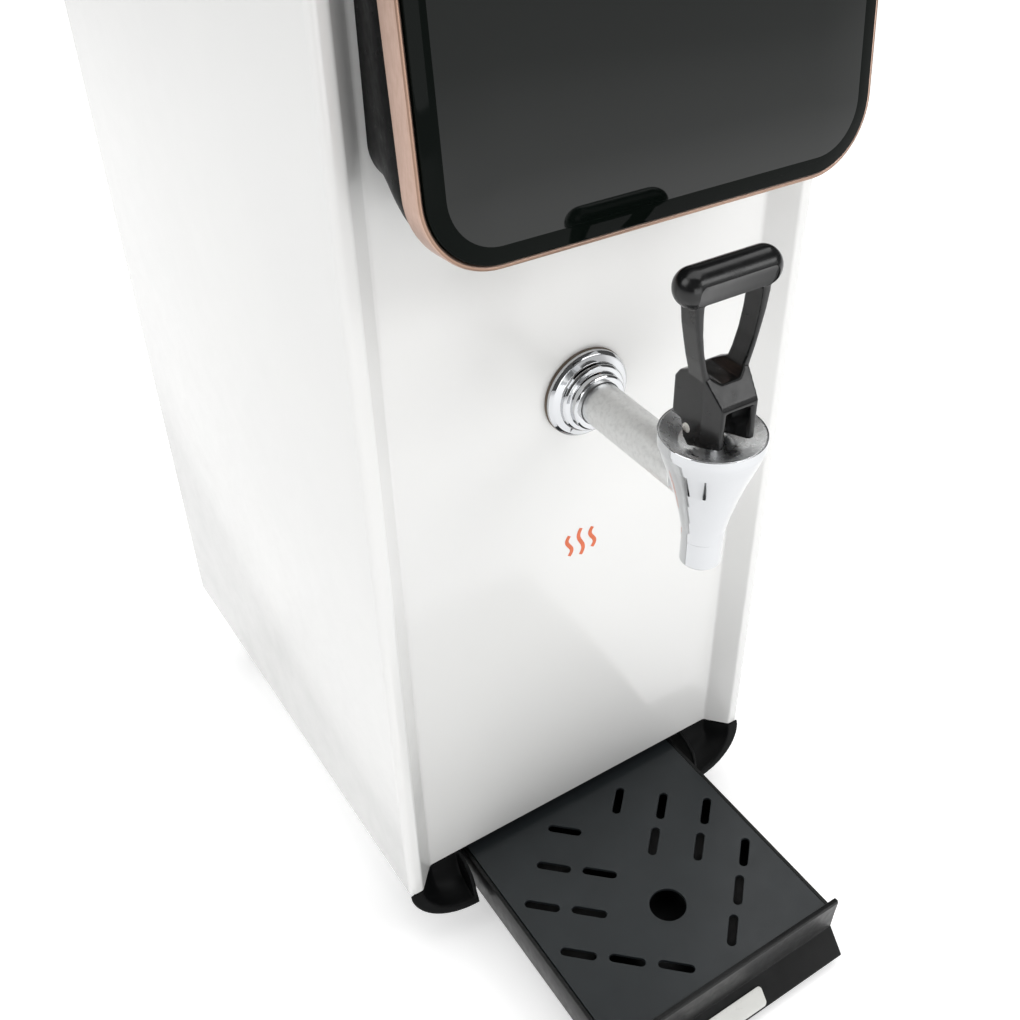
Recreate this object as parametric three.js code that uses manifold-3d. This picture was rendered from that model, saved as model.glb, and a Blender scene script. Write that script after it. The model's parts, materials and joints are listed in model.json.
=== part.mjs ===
// A countertop hot-water dispenser: a narrow painted-steel cabinet with a raised display pod, a
// self-closing tap with a loop handle, and a drip tray that slides under the cabinet.
// Millimetres, +Z up, front towards -Y. The group's origin is the middle of the footprint, at
// counter level. Most pieces are written in the cabinet frame: x = 0 on the centre line, y = 0 at
// the flat front edges of the two sides, z = 0 at the lower edge of the painted sheet.
import * as THREE from "three";
import { mergeVertices } from "three/addons/utils/BufferGeometryUtils.js";
import Module from "manifold-3d";

const wasm = await Module();
wasm.setup();

// ---------------------------------------------------------------- driving dimensions
const GAP = 0.3; // between pieces that touch

const WIDTH = 235; // over the painted sides
const DEPTH = 312; // from the front edges to the rear panel's face
const WRAP_TOP = 543; // top of the folded front-and-sides sheet
const CABINET_TOP = 555; // top of the lid
const SHEET = 1.2; // painted steel
const STRIP = 7.5; // flat front edge of each side
const RETURN = 11; // width of the slanted return beside the front panel
const RECESS = 12.2; // front panel, behind the front edges
const EDGE_R = 5; // rounded front corner of each side

const FOOT_H = 50; // counter to the sheet's lower edge
const FOOT_R = 11;
const FOOT_X = 92;
const FOOT_Y = [46, 268];

const POD = { halfX: 102.9, halfZ: 77.5, centreY: -32, centreZ: 460.5, tilt: 5.85 };
const POD_R = 29.5; // corner radius of the pod's front outline
const RING_DEPTH = 11.6;
const RING_WALL = 2.2;

const TAP_Y = -76; // tap's vertical axis
const SHANK_Z = 281; // shank's axis height
const SHANK_R = 10.3;
const PIN_Y = 3.8; // handle pin, behind the tap's axis
const PIN_Z = 312.6;
const BAR_Z = 376.5; // handle's top bar
const BAR_R = 7.8;
const BAR_HALF = 16.3; // half the distance between the bar's end centres

const TRAY_HALF = 75.5;
const TRAY_FRONT = -132;
const TRAY_BACK = 88;
const TRAY_RIM = -7.4;
const TRAY_FLOOR = -29;
const GRILLE_TOP = -6.9;
const GRILLE_T = 2;
const SLOT_W = 4.8; // grille slots, and their length from tip to tip
const SLOT_L = 19.7;
const DRAIN_R = 10.3;
const DRAIN_Y = -79.7;

const FLANGE_REACH = 143.8; // tray's front lip, ahead of the cabinet's front edges
const REAR_REACH = 340; // end of the water inlet behind the cabinet

const TANK = { halfX: 80, y0: 75, y1: 255, z0: 240, z1: 500, wall: 1.5, r: 20 };
const JACKET = 11.5; // insulation thickness

// ---------------------------------------------------------------- solids
function solid(geometry) {
  const source = geometry.index ? geometry.toNonIndexed() : geometry;
  const plain = new THREE.BufferGeometry();
  plain.setAttribute("position", source.getAttribute("position"));
  const merged = mergeVertices(plain, 1e-3);
  const corners = merged.index.array;
  const kept = [];
  for (let i = 0; i < corners.length; i += 3) {
    const [a, b, c] = corners.slice(i, i + 3);
    if (a !== b && b !== c && c !== a) kept.push(a, b, c);
  }
  const make = (triangles) =>
    new wasm.Manifold(
      new wasm.Mesh({
        numProp: 3,
        vertProperties: merged.attributes.position.array,
        triVerts: new Uint32Array(triangles),
      }),
    );
  const made = make(kept);
  if (made.volume() > 0) return made;
  for (let i = 0; i < kept.length; i += 3) [kept[i + 1], kept[i + 2]] = [kept[i + 2], kept[i + 1]];
  return make(kept);
}

const asSolid = (piece) => (piece.isBufferGeometry ? solid(piece) : piece);

function join(first, ...others) {
  return others.reduce((sum, piece) => sum.add(asSolid(piece)), asSolid(first));
}

function cut(first, ...others) {
  return others.reduce((rest, piece) => rest.subtract(asSolid(piece)), asSolid(first));
}

function geometryOf(piece) {
  const mesh = asSolid(piece).getMesh();
  const geometry = new THREE.BufferGeometry();
  geometry.setAttribute("position", new THREE.BufferAttribute(mesh.vertProperties, 3));
  geometry.setIndex(new THREE.BufferAttribute(mesh.triVerts, 1));
  geometry.computeVertexNormals();
  return geometry;
}

// A block between two corners.
function block(x0, x1, y0, y1, z0, z1) {
  const geometry = new THREE.BoxGeometry(x1 - x0, y1 - y0, z1 - z0);
  return geometry.translate((x0 + x1) / 2, (y0 + y1) / 2, (z0 + z1) / 2);
}

// Turned along z from [radius, z] points; the ends are closed to the axis.
function turned(points, sides = 20) {
  const profile = points.map(([r, z]) => new THREE.Vector2(r, z));
  if (points[0][0] > 0) profile.unshift(new THREE.Vector2(0, points[0][1]));
  const last = points[points.length - 1];
  if (last[0] > 0) profile.push(new THREE.Vector2(0, last[1]));
  return new THREE.LatheGeometry(profile, sides).rotateX(Math.PI / 2);
}

// Turned hollow: the profile closes on itself.
function turnedRing(points, sides = 20) {
  const profile = [...points, points[0]].map(([r, z]) => new THREE.Vector2(r, z));
  return new THREE.LatheGeometry(profile, sides).rotateX(Math.PI / 2);
}

const moved = (piece, x, y, z) =>
  piece.isBufferGeometry ? piece.translate(x, y, z) : piece.translate([x, y, z]);

// The profile's z becomes x, or y.
const alongX = (piece) =>
  piece.isBufferGeometry ? piece.rotateY(Math.PI / 2) : piece.rotate([0, 90, 0]);
const alongY = (piece) =>
  piece.isBufferGeometry ? piece.rotateX(-Math.PI / 2) : piece.rotate([-90, 0, 0]);

const rod = (r, z0, z1, sides = 16) => turned([[r, z0], [r, z1]], sides);
const tube = (outer, inner, z0, z1, sides = 20) =>
  turnedRing([[inner, z0], [outer, z0], [outer, z1], [inner, z1]], sides);

const outline = (points) => new THREE.Shape(points.map(([x, y]) => new THREE.Vector2(x, y)));

// A plan outline raised from z0 to z1.
function raised(shape, z0, z1) {
  const settings = { depth: z1 - z0, bevelEnabled: false, curveSegments: 6 };
  return new THREE.ExtrudeGeometry(shape, settings).translate(0, 0, z0);
}

// A side-view outline of [y, z] points, as thick as x0 to x1.
function sideways(points, x0, x1) {
  const settings = { depth: x1 - x0, bevelEnabled: false };
  const geometry = new THREE.ExtrudeGeometry(outline(points), settings);
  return geometry.rotateX(Math.PI / 2).rotateZ(Math.PI / 2).translate(x0, 0, 0);
}

function roundedRect(halfX, halfY, r, centreX = 0, centreY = 0, steps = 5) {
  const points = [];
  const centres = [[1, 1, 0], [-1, 1, 1], [-1, -1, 2], [1, -1, 3]];
  for (const [sx, sy, quarter] of centres)
    for (let i = 0; i <= steps; i++) {
      const a = ((quarter + i / steps) * Math.PI) / 2;
      const x = centreX + sx * (halfX - r) + r * Math.cos(a);
      points.push([x, centreY + sy * (halfY - r) + r * Math.sin(a)]);
    }
  return points;
}

// A round bar swept along a smooth path.
function swept(points, r, steps = 30, sides = 8) {
  const ring = Array.from({ length: sides }, (_, i) => {
    const a = (2 * Math.PI * i) / sides;
    return [r * Math.cos(a), r * Math.sin(a)];
  });
  const path = new THREE.CatmullRomCurve3(points.map((p) => new THREE.Vector3(...p)));
  path.curveType = "centripetal";
  const settings = { steps, extrudePath: path, bevelEnabled: false };
  return new THREE.ExtrudeGeometry(outline(ring), settings);
}

// Rings of equally many points, joined in order and closed by a fan at each end.
function lofted(rings) {
  const count = rings[0].length;
  const position = rings.flat(2);
  const index = [];
  for (let k = 0; k + 1 < rings.length; k++)
    for (let i = 0; i < count; i++) {
      const a = k * count + i;
      const b = k * count + ((i + 1) % count);
      index.push(a, b, b + count, a, b + count, a + count);
    }
  const end = (rings.length - 1) * count;
  for (let i = 1; i + 1 < count; i++) {
    index.push(0, i + 1, i);
    index.push(end, end + i, end + i + 1);
  }
  const geometry = new THREE.BufferGeometry();
  geometry.setAttribute("position", new THREE.Float32BufferAttribute(position, 3));
  return geometry.setIndex(index);
}

// The line through a polyline's points, moved sideways by a distance (to its left).
function besideLine(points, distance) {
  const normals = points.slice(1).map(([x, y], i) => {
    const [dx, dy] = [x - points[i][0], y - points[i][1]];
    const length = Math.hypot(dx, dy);
    return [-dy / length, dx / length];
  });
  return points.map(([x, y], i) => {
    const before = normals[Math.max(i - 1, 0)];
    const after = normals[Math.min(i, normals.length - 1)];
    const scale = distance / (1 + before[0] * after[0] + before[1] * after[1]);
    return [x + (before[0] + after[0]) * scale, y + (before[1] + after[1]) * scale];
  });
}

// Sheet metal folded along a polyline, thickness to its left.
const folded = (points, thickness) =>
  outline([...points, ...besideLine(points, thickness).reverse()]);

// ---------------------------------------------------------------- materials
const finish = (color, roughness, metalness = 0) =>
  new THREE.MeshStandardMaterial({ color, roughness, metalness });

const white = finish(0xefefed, 0.3);
const darkPlastic = finish(0x1b1c1c, 0.5);
const glossBlack = finish(0x08090a, 0.08);
const grilleGrey = finish(0x46494a, 0.45);
const roseGold = finish(0xc9a596, 0.35, 0.8);
const chrome = finish(0xe4e6e8, 0.08, 1);
const satinSteel = finish(0xb9babc, 0.38, 1);
const rubber = finish(0x2a2a2a, 0.85);
const silicone = finish(0xd9d6cc, 0.6);
const gasketBrown = finish(0x8a7a68, 0.8);
const brass = finish(0xb08d4c, 0.35, 1);
const circuitGreen = finish(0x1f5a3a, 0.5);
const foam = finish(0xcfc9b8, 0.95);
const labelWhite = finish(0xe9e9e4, 0.45);

const cabinet = new THREE.Group();
const pod = new THREE.Group();
const tap = new THREE.Group();

function add(group, name, piece, material) {
  const mesh = new THREE.Mesh(geometryOf(piece), material);
  mesh.name = name;
  group.add(mesh);
  return mesh;
}

// ---------------------------------------------------------------- cabinet
const HALF = WIDTH / 2;
const REAR_FLANGE = 15;

// Plan of the front: rounded corner, flat strip, slanted return, panel; from -x to +x.
function frontLine() {
  const strip = HALF - STRIP;
  const left = [];
  for (let i = 0; i <= 4; i++) {
    const a = (i / 4) * (Math.PI / 2);
    left.push([-HALF + EDGE_R * (1 - Math.cos(a)), EDGE_R * (1 - Math.sin(a))]);
  }
  left.push([-strip, 0], [-strip + RETURN, RECESS]);
  return [...left, ...left.map(([x, y]) => [-x, y]).reverse()];
}

function bodyWrap() {
  const back = DEPTH - SHEET - GAP;
  const line = [
    [-HALF + REAR_FLANGE, back],
    [-HALF, back],
    ...frontLine(),
    [HALF, back],
    [HALF - REAR_FLANGE, back],
  ];
  const sheet = raised(folded(line, SHEET), 0, WRAP_TOP);
  const shankHole = alongY(rod(SHANK_R + 0.6, RECESS - 3, RECESS + 4)).translate(0, 0, SHANK_Z);
  const wiring = block(-35, 35, RECESS - 3, RECESS + 4, POD.centreZ - 18, POD.centreZ + 18);
  return cut(sheet, shankHole, wiring);
}

function topCover() {
  const middle = (DEPTH - SHEET) / 2;
  const plan = outline(roundedRect(HALF, middle, EDGE_R, 0, middle, 4));
  const inside = outline(roundedRect(HALF - SHEET, middle - SHEET, EDGE_R - SHEET, 0, middle, 4));
  const skirtFoot = WRAP_TOP + GAP;
  return cut(raised(plan, skirtFoot, CABINET_TOP), raised(inside, skirtFoot - 1, CABINET_TOP - 1.5));
}

const INLET = { x: 60, z: 62, holeR: 11 };
const GLAND = { x: -70, z: 45, holeR: 8.5 };
const SWITCH = { x: -70, z: 96, halfX: 14, halfZ: 10.5 };
const DRAIN = { x: 0, z: 40, holeR: 11 };
const VENT = { rows: 9, pitch: 14, z: 380, halfX: 34, halfZ: 2.5, x: 48 };

function backPanel() {
  const y0 = DEPTH - SHEET;
  let panel = asSolid(block(-HALF + 1, HALF - 1, y0, DEPTH, 1, WRAP_TOP - 1));
  for (const port of [INLET, GLAND, DRAIN]) {
    const hole = alongY(rod(port.holeR, y0 - 2, DEPTH + 2));
    panel = cut(panel, hole.translate(port.x, 0, port.z));
  }
  const { x, z, halfX, halfZ } = SWITCH;
  panel = cut(panel, block(x - halfX, x + halfX, y0 - 2, DEPTH + 2, z - halfZ, z + halfZ));
  for (let i = 0; i < VENT.rows; i++)
    for (const side of [-1, 1]) {
      const [cx, cz] = [side * VENT.x, VENT.z + i * VENT.pitch];
      const slot = block(cx - VENT.halfX, cx + VENT.halfX, y0 - 2, DEPTH + 2, cz - VENT.halfZ,
        cz + VENT.halfZ);
      panel = cut(panel, slot);
    }
  return panel;
}

const PAN = { halfX: 115.6, y0: 14.6, y1: 309, rim: 15 };
const OVERFLOW = { x: -60, y: 284 };

function basePan() {
  const { halfX, y0, y1, rim } = PAN;
  const outer = block(-halfX, halfX, y0, y1, 0, rim);
  const inner = block(-halfX + SHEET, halfX - SHEET, y0 + SHEET, y1 - SHEET, SHEET, rim + 1);
  let pan = cut(outer, inner);
  for (const y of FOOT_Y)
    for (const x of [-FOOT_X, FOOT_X])
      pan = cut(pan, rod(4.4, -2, 4, 12).translate(x, y, 0));
  pan = cut(pan, rod(6.5, -2, 4, 14).translate(OVERFLOW.x, OVERFLOW.y, 0));
  for (let i = 0; i < 6; i++) pan = cut(pan, block(-55, 55, 70 + i * 26, 76 + i * 26, -2, 4));
  return pan;
}

const PAD_T = 3.5;

function leg() {
  const top = -GAP;
  const foot = -FOOT_H + PAD_T + GAP;
  const body = turned([[FOOT_R - 1.5, foot], [FOOT_R - 0.5, foot + 8], [FOOT_R, top - 4],
    [FOOT_R, top], [4, top], [4, 11]], 12);
  return cut(body, rod(5, foot - 1, foot + 7, 10));
}

const pad = () =>
  turned([[FOOT_R - 0.6, -FOOT_H], [FOOT_R, -FOOT_H + 1], [FOOT_R, -FOOT_H + PAD_T],
    [4.6, -FOOT_H + PAD_T], [4.6, -FOOT_H + PAD_T + 6]], 12);

// Base moulding: a black scoop under each front corner, with the tray's slot between them.
const SLOT_HALF = 79.5;
const SCOOP_DROP = 25.5;
const SCOOP_LEAN = 0.33; // how far the scoop's lip comes forward for each mm it drops
const MOULD_WALL = 2.4;

// Where the cabinet's front stands at a distance x from the centre line.
function frontAt(x) {
  const strip = HALF - STRIP;
  return RECESS * THREE.MathUtils.clamp((strip - x) / RETURN, 0, 1);
}

function scoopSection(x) {
  const drop = (half, depth) => {
    const t = (x - SLOT_HALF) / (half - SLOT_HALF);
    return t < 1 ? -depth * Math.sqrt(1 - t * t) : 0;
  };
  const lip = drop(HALF + 0.2, SCOOP_DROP);
  const inner = Math.min(drop(HALF - STRIP, SCOOP_DROP - 3.5), 0);
  const top = [frontAt(x), -GAP];
  const bowl = [];
  const curve = 10;
  for (let i = 0; i <= curve; i++) {
    const t = i / curve;
    const y = (1 - t * t) * top[0] + t * t * SCOOP_LEAN * inner;
    const z = (1 - t) * (1 - t) * top[1] + 2 * t * (1 - t) * inner * 0.95 + t * t * inner;
    bowl.push(new THREE.Vector2(y, Math.min(z, -GAP - 0.02 * i)));
  }
  bowl.push(new THREE.Vector2(SCOOP_LEAN * lip, Math.min(lip, -1.5)));
  return spaced(bowl, 7);
}

// A polyline cut into equal lengths.
function spaced(line, steps) {
  const lengths = line.slice(1).map((p, i) => p.distanceTo(line[i]));
  const total = lengths.reduce((a, b) => a + b, 0);
  const points = [];
  for (let i = 0; i <= steps; i++) {
    let left = (total * i) / steps;
    let k = 0;
    while (k < lengths.length - 1 && left > lengths[k]) left -= lengths[k++];
    points.push(line[k].clone().lerp(line[k + 1], Math.min(left / lengths[k], 1)));
  }
  return points;
}

function scoop(side) {
  const stations = 10;
  const rings = [];
  for (let i = 0; i <= stations; i++) {
    const a = (i / stations) * 1.5;
    const x = SLOT_HALF + (HALF - SLOT_HALF - 0.1) * Math.sin(a);
    const face = scoopSection(x);
    const ring = face.map((p) => [side * x, p.x, p.y]);
    const back = MOULD_WALL * 0.7;
    for (const p of face.reverse()) ring.push([side * x, p.x + back, p.y - back]);
    rings.push(ring);
  }
  return lofted(rings);
}

function baseMoulding() {
  const strip = HALF - STRIP;
  const inner = SHEET + GAP;
  const plan = [[-HALF + 1.6, 3], [-strip - 1, inner], [-strip + RETURN - 1, RECESS + inner],
    [strip - RETURN + 1, RECESS + inner], [strip + 1, inner], [HALF - 1.6, 3], [HALF - 1.6, 30],
    [-HALF + 1.6, 30]];
  const deck = raised(outline(plan), -2.8, -GAP);
  const cheek = [[30, -GAP], [RECESS, -GAP], [5, -2.5], [-1.5, -7], [-4.6, -13.5], [-5.4, -18],
    [-7.6, -23], [-SCOOP_LEAN * SCOOP_DROP, -SCOOP_DROP], [30, -SCOOP_DROP]];
  let moulding = asSolid(deck);
  for (const side of [-1, 1]) {
    const x = side * (SLOT_HALF + MOULD_WALL / 2);
    const wall = sideways(cheek, x - MOULD_WALL / 2, x + MOULD_WALL / 2);
    moulding = join(moulding, scoop(side), wall);
  }
  return moulding;
}

function trayGuide(side) {
  const web = TRAY_HALF + 0.7;
  const foot = TRAY_FLOOR - GAP;
  const line = [[web - 6, foot], [web, foot], [web, -GAP], [web + 3, -GAP]];
  const sheet = folded(line.map(([x, z]) => [side * x, z]), -side * SHEET);
  const settings = { depth: 216, bevelEnabled: false };
  return new THREE.ExtrudeGeometry(sheet, settings).rotateX(Math.PI / 2).translate(0, 250, 0);
}

add(cabinet, "body_wrap", bodyWrap(), white);
add(cabinet, "top_cover", topCover(), white);
add(cabinet, "back_panel", backPanel(), white);
add(cabinet, "base_pan", basePan(), white);
add(cabinet, "base_moulding", baseMoulding(), darkPlastic);
for (const [row, y] of [["front", FOOT_Y[0]], ["rear", FOOT_Y[1]]])
  for (const [hand, x] of [["left", -FOOT_X], ["right", FOOT_X]]) {
    add(cabinet, `leg_${row}_${hand}`, leg(), darkPlastic).position.set(x, y, 0);
    add(cabinet, `foot_pad_${row}_${hand}`, pad(), rubber).position.set(x, y, 0);
  }
add(cabinet, "tray_guide_left", trayGuide(-1), satinSteel);
add(cabinet, "tray_guide_right", trayGuide(1), satinSteel);

// ---------------------------------------------------------------- display pod
const TILT = THREE.MathUtils.degToRad(POD.tilt);
pod.position.set(0, POD.centreY, POD.centreZ);
pod.rotation.x = -TILT; // the pod's face, towards its own -y, looks slightly up

// An outline in the pod's xz plane at a depth y behind its front edge.
const podRing = (halfX, halfZ, r, y) =>
  roundedRect(halfX, halfZ, r, 0, 0, 6).map(([x, z]) => [x, y, z]);

function trimRing() {
  const outer = lofted([podRing(POD.halfX, POD.halfZ, POD_R, 0),
    podRing(POD.halfX, POD.halfZ, POD_R, RING_DEPTH)]);
  const [hx, hz, r] = [POD.halfX - RING_WALL, POD.halfZ - RING_WALL, POD_R - RING_WALL];
  return cut(outer, lofted([podRing(hx, hz, r, -1), podRing(hx, hz, r, RING_DEPTH + 1)]));
}

function displayGlass() {
  const inset = RING_WALL + GAP;
  const rings = [[0, 5], [0, -0.4], [1.2, -1.8], [3.4, -2.7], [7, -3]].map(([more, y]) =>
    podRing(POD.halfX - inset - more, POD.halfZ - inset - more, POD_R - inset - more, y),
  );
  return lofted(rings);
}

// The housing grows from the front panel to the tilted ring, its underside swept back.
function housingShell(inset, overrun) {
  const base = { halfX: 96, low: 398, high: 526, r: 18 };
  const low = POD.centreZ - POD.halfZ + 0.6;
  const high = POD.centreZ + POD.halfZ - 0.6;
  const steps = 5;
  const rings = [];
  for (let k = 0; k <= steps; k++) {
    const t = -overrun + (1 + 2 * overrun) * (k / steps);
    const s = THREE.MathUtils.smoothstep(t, 0, 1);
    const mix = (a, b) => a + (b - a) * s;
    const [z0, z1] = [mix(base.low, low) + inset, mix(base.high, high) - inset];
    const halfX = mix(base.halfX, POD.halfX - 0.6) - inset;
    const r = mix(base.r, POD_R - 0.6) - inset;
    const middle = (z0 + z1) / 2;
    const plan = roundedRect(halfX, (z1 - z0) / 2, r, 0, middle, 4);
    rings.push(plan.map(([x, z]) => {
      const front = POD.centreY + RING_DEPTH + GAP + (z - POD.centreZ) * Math.tan(TILT);
      const back = RECESS - GAP;
      return [x, back + (front - back) * t, z];
    }));
  }
  return lofted(rings);
}

function displayBoard() {
  const board = block(-82, 82, 5.6, 7.2, -50, 50);
  return join(board, block(-40, 40, 7.1, 9.5, -12, 12), block(50, 70, 7.1, 10.5, 20, 34));
}

const displaySegments = () => block(-30, 30, 5.1, 5.4, -9, 9);

add(cabinet, "display_housing", cut(housingShell(0, 0), housingShell(2.5, 0.02)), darkPlastic);
add(pod, "display_trim_ring", trimRing(), roseGold);
add(pod, "display_glass", displayGlass(), glossBlack);
add(pod, "display_led_panel", displaySegments(), glossBlack);
add(pod, "display_board", displayBoard(), circuitGreen);
cabinet.add(pod);

// ---------------------------------------------------------------- tap
tap.position.set(0, TAP_Y, 0);
const PANEL = RECESS - TAP_Y; // front panel's face, in the tap's frame

const onShank = (piece) => moved(alongY(piece), 0, 0, SHANK_Z);

const gasket = () => onShank(tube(21.9, SHANK_R + 0.6, PANEL - 1.3, PANEL - GAP, 20));

function rosette() {
  const y = PANEL - 1.6;
  const bore = SHANK_R + GAP;
  return onShank(turnedRing([[bore, y], [21.7, y], [21.7, y - 1.6], [20.4, y - 2.8],
    [16.8, y - 4], [16.8, y - 6], [16.1, y - 6.7], [13.8, y - 7.2], [13.8, y - 10.8],
    [13.1, y - 11.4], [bore, y - 11.4]], 20));
}

function shank() {
  const body = turned([[SHANK_R, 13.2], [SHANK_R, PANEL + 16], [8.8, PANEL + 16],
    [8.8, PANEL + 44]], 20);
  return onShank(cut(body, rod(6, 12, PANEL + 46, 16)));
}

const lockWasher = () => onShank(tube(16, SHANK_R + GAP, PANEL + 1.6, PANEL + 3.2, 20));

function lockNut() {
  const hex = turned([[15.6, PANEL + 3.5], [15.6, PANEL + 11]], 6);
  return onShank(cut(hex, rod(SHANK_R + GAP, PANEL + 2, PANEL + 13, 20)));
}

const DISH_RIM = 309.2;
const SEAT_Z = 274;

function tapBody() {
  const outer = turned([[8.4, 240.5], [9.1, 241.2], [9.1, 248], [9.5, 249.5], [9.6, 255],
    [10.9, 270], [13.2, 281.6], [15.4, 287.6], [16.6, 289.2], [20.4, 299.5], [22.3, 304.6],
    [22.3, DISH_RIM]], 20);
  const boss = onShank(rod(SHANK_R + 1.3, 2, 16.2, 20));
  const bores = [
    rod(6, 239, SEAT_Z + 1, 16),
    rod(9.8, SEAT_Z, 294, 20),
    turned([[14.3, 293.2], [14.3, 302.1], [17.2, 302.1], [21.5, 306.4], [21.5, 311]], 20),
    onShank(rod(SHANK_R + GAP, 12.9, 18, 20)),
    onShank(rod(6, 5, 14, 16)),
  ];
  return cut(join(outer, boss), ...bores);
}

const DISH_FLOOR = 303.5;

const bonnet = () =>
  turnedRing([[3.8, 296], [14, 296], [14, 302.4], [17, 302.4], [21.2, 306.6],
    [21.2, DISH_RIM - GAP], [20.3, DISH_RIM - GAP], [13.5, DISH_FLOOR + 0.8], [9, DISH_FLOOR],
    [3.8, DISH_FLOOR]], 20);

const seatCup = () =>
  turned([[5.2, SEAT_Z - 2.2], [5.6, SEAT_Z + GAP], [8.6, SEAT_Z + GAP], [8.6, SEAT_Z + 4],
    [6, SEAT_Z + 6]], 16);

const SPRING = { low: 282.6, high: 295.2, r: 6.2, wire: 0.65, turns: 5 };

function stem() {
  const disc = SEAT_Z + 6 + GAP;
  const shaft = turned([[8.2, disc], [8.2, disc + 1.4], [3.2, disc + 1.4], [3.2, PIN_Z - 3]], 16);
  const eye = alongX(rod(4, -3, 3, 14)).translate(0, PIN_Y, PIN_Z);
  const neck = block(-3, 3, -3.1, PIN_Y + 2, PIN_Z - 7, PIN_Z - 2.2);
  return cut(join(shaft, neck, eye), alongX(rod(2.1, -5, 5, 14)).translate(0, PIN_Y, PIN_Z));
}

function spring() {
  const { low, high, r, wire, turns } = SPRING;
  const steps = turns * 9;
  const points = [];
  for (let i = 0; i <= steps; i++) {
    const a = (2 * Math.PI * turns * i) / steps;
    points.push([r * Math.cos(a), r * Math.sin(a), low + ((high - low) * i) / steps]);
  }
  return swept(points, wire, steps, 5);
}

// The base block's side view; its lower edge rises towards the front, so the loop can tip forward.
const CHEEK = [[-14, 310.8], [-14, 330.8], [-12.3, 333.6], [-8, 336.8], [-4.6, 338.5],
  [5.6, 338.5], [11, 335.5], [13.4, 332], [13.4, 315.2], [8, 314.6], [6, 307.6], [2.5, 304.6],
  [-1, 306.4]];

function handleBlock() {
  const whole = asSolid(sideways(CHEEK, -10.8, 10.8));
  // the cheeks come together towards the front face
  const waist = outline([[-10.8, 14], [-10.8, -5], [-8.6, -15], [8.6, -15], [10.8, -5], [10.8, 14]]);
  const tapered = whole.intersect(asSolid(raised(waist, 300, 345)));
  const slot = block(-6.2, 6.2, -20, 9.8, 300, 328.6);
  const pinHole = alongX(rod(2.1, -12, 12, 14)).translate(0, PIN_Y, PIN_Z);
  return cut(tapered, slot, pinHole);
}

// One leg of the loop, seen from the front: it bows out from the block to the bar.
function loopLeg(side) {
  const outer = [[9.6, 333], [11.4, 339], [13.4, 346], [15.1, 353.5], [16.7, 361], [17.6, 368],
    [17.7, 374]];
  const inner = [[13.9, 374], [13.9, 366], [13.3, 358], [12, 350], [9.8, 342.4], [7.6, 337.5],
    [4.8, 335.4], [0, 334.6], [0, 333]];
  const shape = outline([...outer, ...inner].map(([x, z]) => [side * x, z]));
  const settings = { depth: 10.2, bevelEnabled: false };
  return new THREE.ExtrudeGeometry(shape, settings).rotateX(Math.PI / 2).translate(0, 5.6, 0);
}

function handle() {
  const arc = (t) => [BAR_R * Math.cos(t), BAR_HALF + BAR_R * Math.sin(t)];
  const ends = Array.from({ length: 4 }, (_, i) => arc((i / 4) * (Math.PI / 2)));
  const half = [...ends, [0, BAR_HALF + BAR_R]];
  const profile = [...half.map(([r, z]) => [r, -z]).reverse(), ...half];
  const bar = alongX(turned(profile, 16)).translate(0, 0.5, BAR_Z);
  const facet = block(-40, 40, -12, -BAR_R + 1.9, -12, 12).rotateX(0.35).translate(0, 0.5, BAR_Z);
  return cut(join(handleBlock(), loopLeg(-1), loopLeg(1), bar), facet);
}

const handlePin = () => alongX(rod(1.8, -11, 11, 16)).translate(0, PIN_Y, PIN_Z);

add(tap, "faucet_gasket", gasket(), gasketBrown);
add(tap, "faucet_rosette", rosette(), chrome);
add(tap, "faucet_shank", shank(), satinSteel);
add(tap, "faucet_lock_washer", lockWasher(), satinSteel);
add(tap, "faucet_lock_nut", lockNut(), brass);
add(tap, "faucet_body", tapBody(), chrome);
add(tap, "faucet_bonnet", bonnet(), satinSteel);
add(tap, "valve_seat_cup", seatCup(), silicone);
add(tap, "valve_stem", stem(), satinSteel);
add(tap, "valve_spring", spring(), satinSteel);
add(tap, "faucet_handle", handle(), darkPlastic);
add(tap, "handle_pin", handlePin(), satinSteel);
cabinet.add(tap);

// ---------------------------------------------------------------- drip tray
const FLANGE_HALF = TRAY_HALF + 3.1;
const TRAY_WALL = 2.3;

// Side view of the tray's front: a raised lip, a groove, and a lower part that juts forward.
const NOTCH = [TRAY_FRONT, -28.5];
const CHIN = [-FLANGE_REACH, -42.3];

function dripTray() {
  const ledge = GRILLE_TOP - GRILLE_T - GAP;
  const well = TRAY_HALF - TRAY_WALL;
  const [front, back] = [TRAY_FRONT + TRAY_WALL, TRAY_BACK - TRAY_WALL];
  const box = cut(
    block(-TRAY_HALF, TRAY_HALF, TRAY_FRONT, TRAY_BACK, TRAY_FLOOR, TRAY_RIM),
    block(-well, well, front, back, ledge, TRAY_RIM + 2),
    block(-well + 3.5, well - 3.5, front + 3.5, back - 3.5, TRAY_FLOOR + 2.3, TRAY_RIM),
  );
  const flange = [[TRAY_FRONT + 1.8, -3.6], [TRAY_FRONT - 0.6, -3.2], [TRAY_FRONT - 1.3, -5],
    [TRAY_FRONT - 0.5, -16], NOTCH, CHIN, [CHIN[0] + 0.5, -44], [CHIN[0] + 2.8, -44.6],
    [TRAY_FRONT + 1.8, -31]];
  return join(box, sideways(flange, -FLANGE_HALF, FLANGE_HALF));
}

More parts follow.
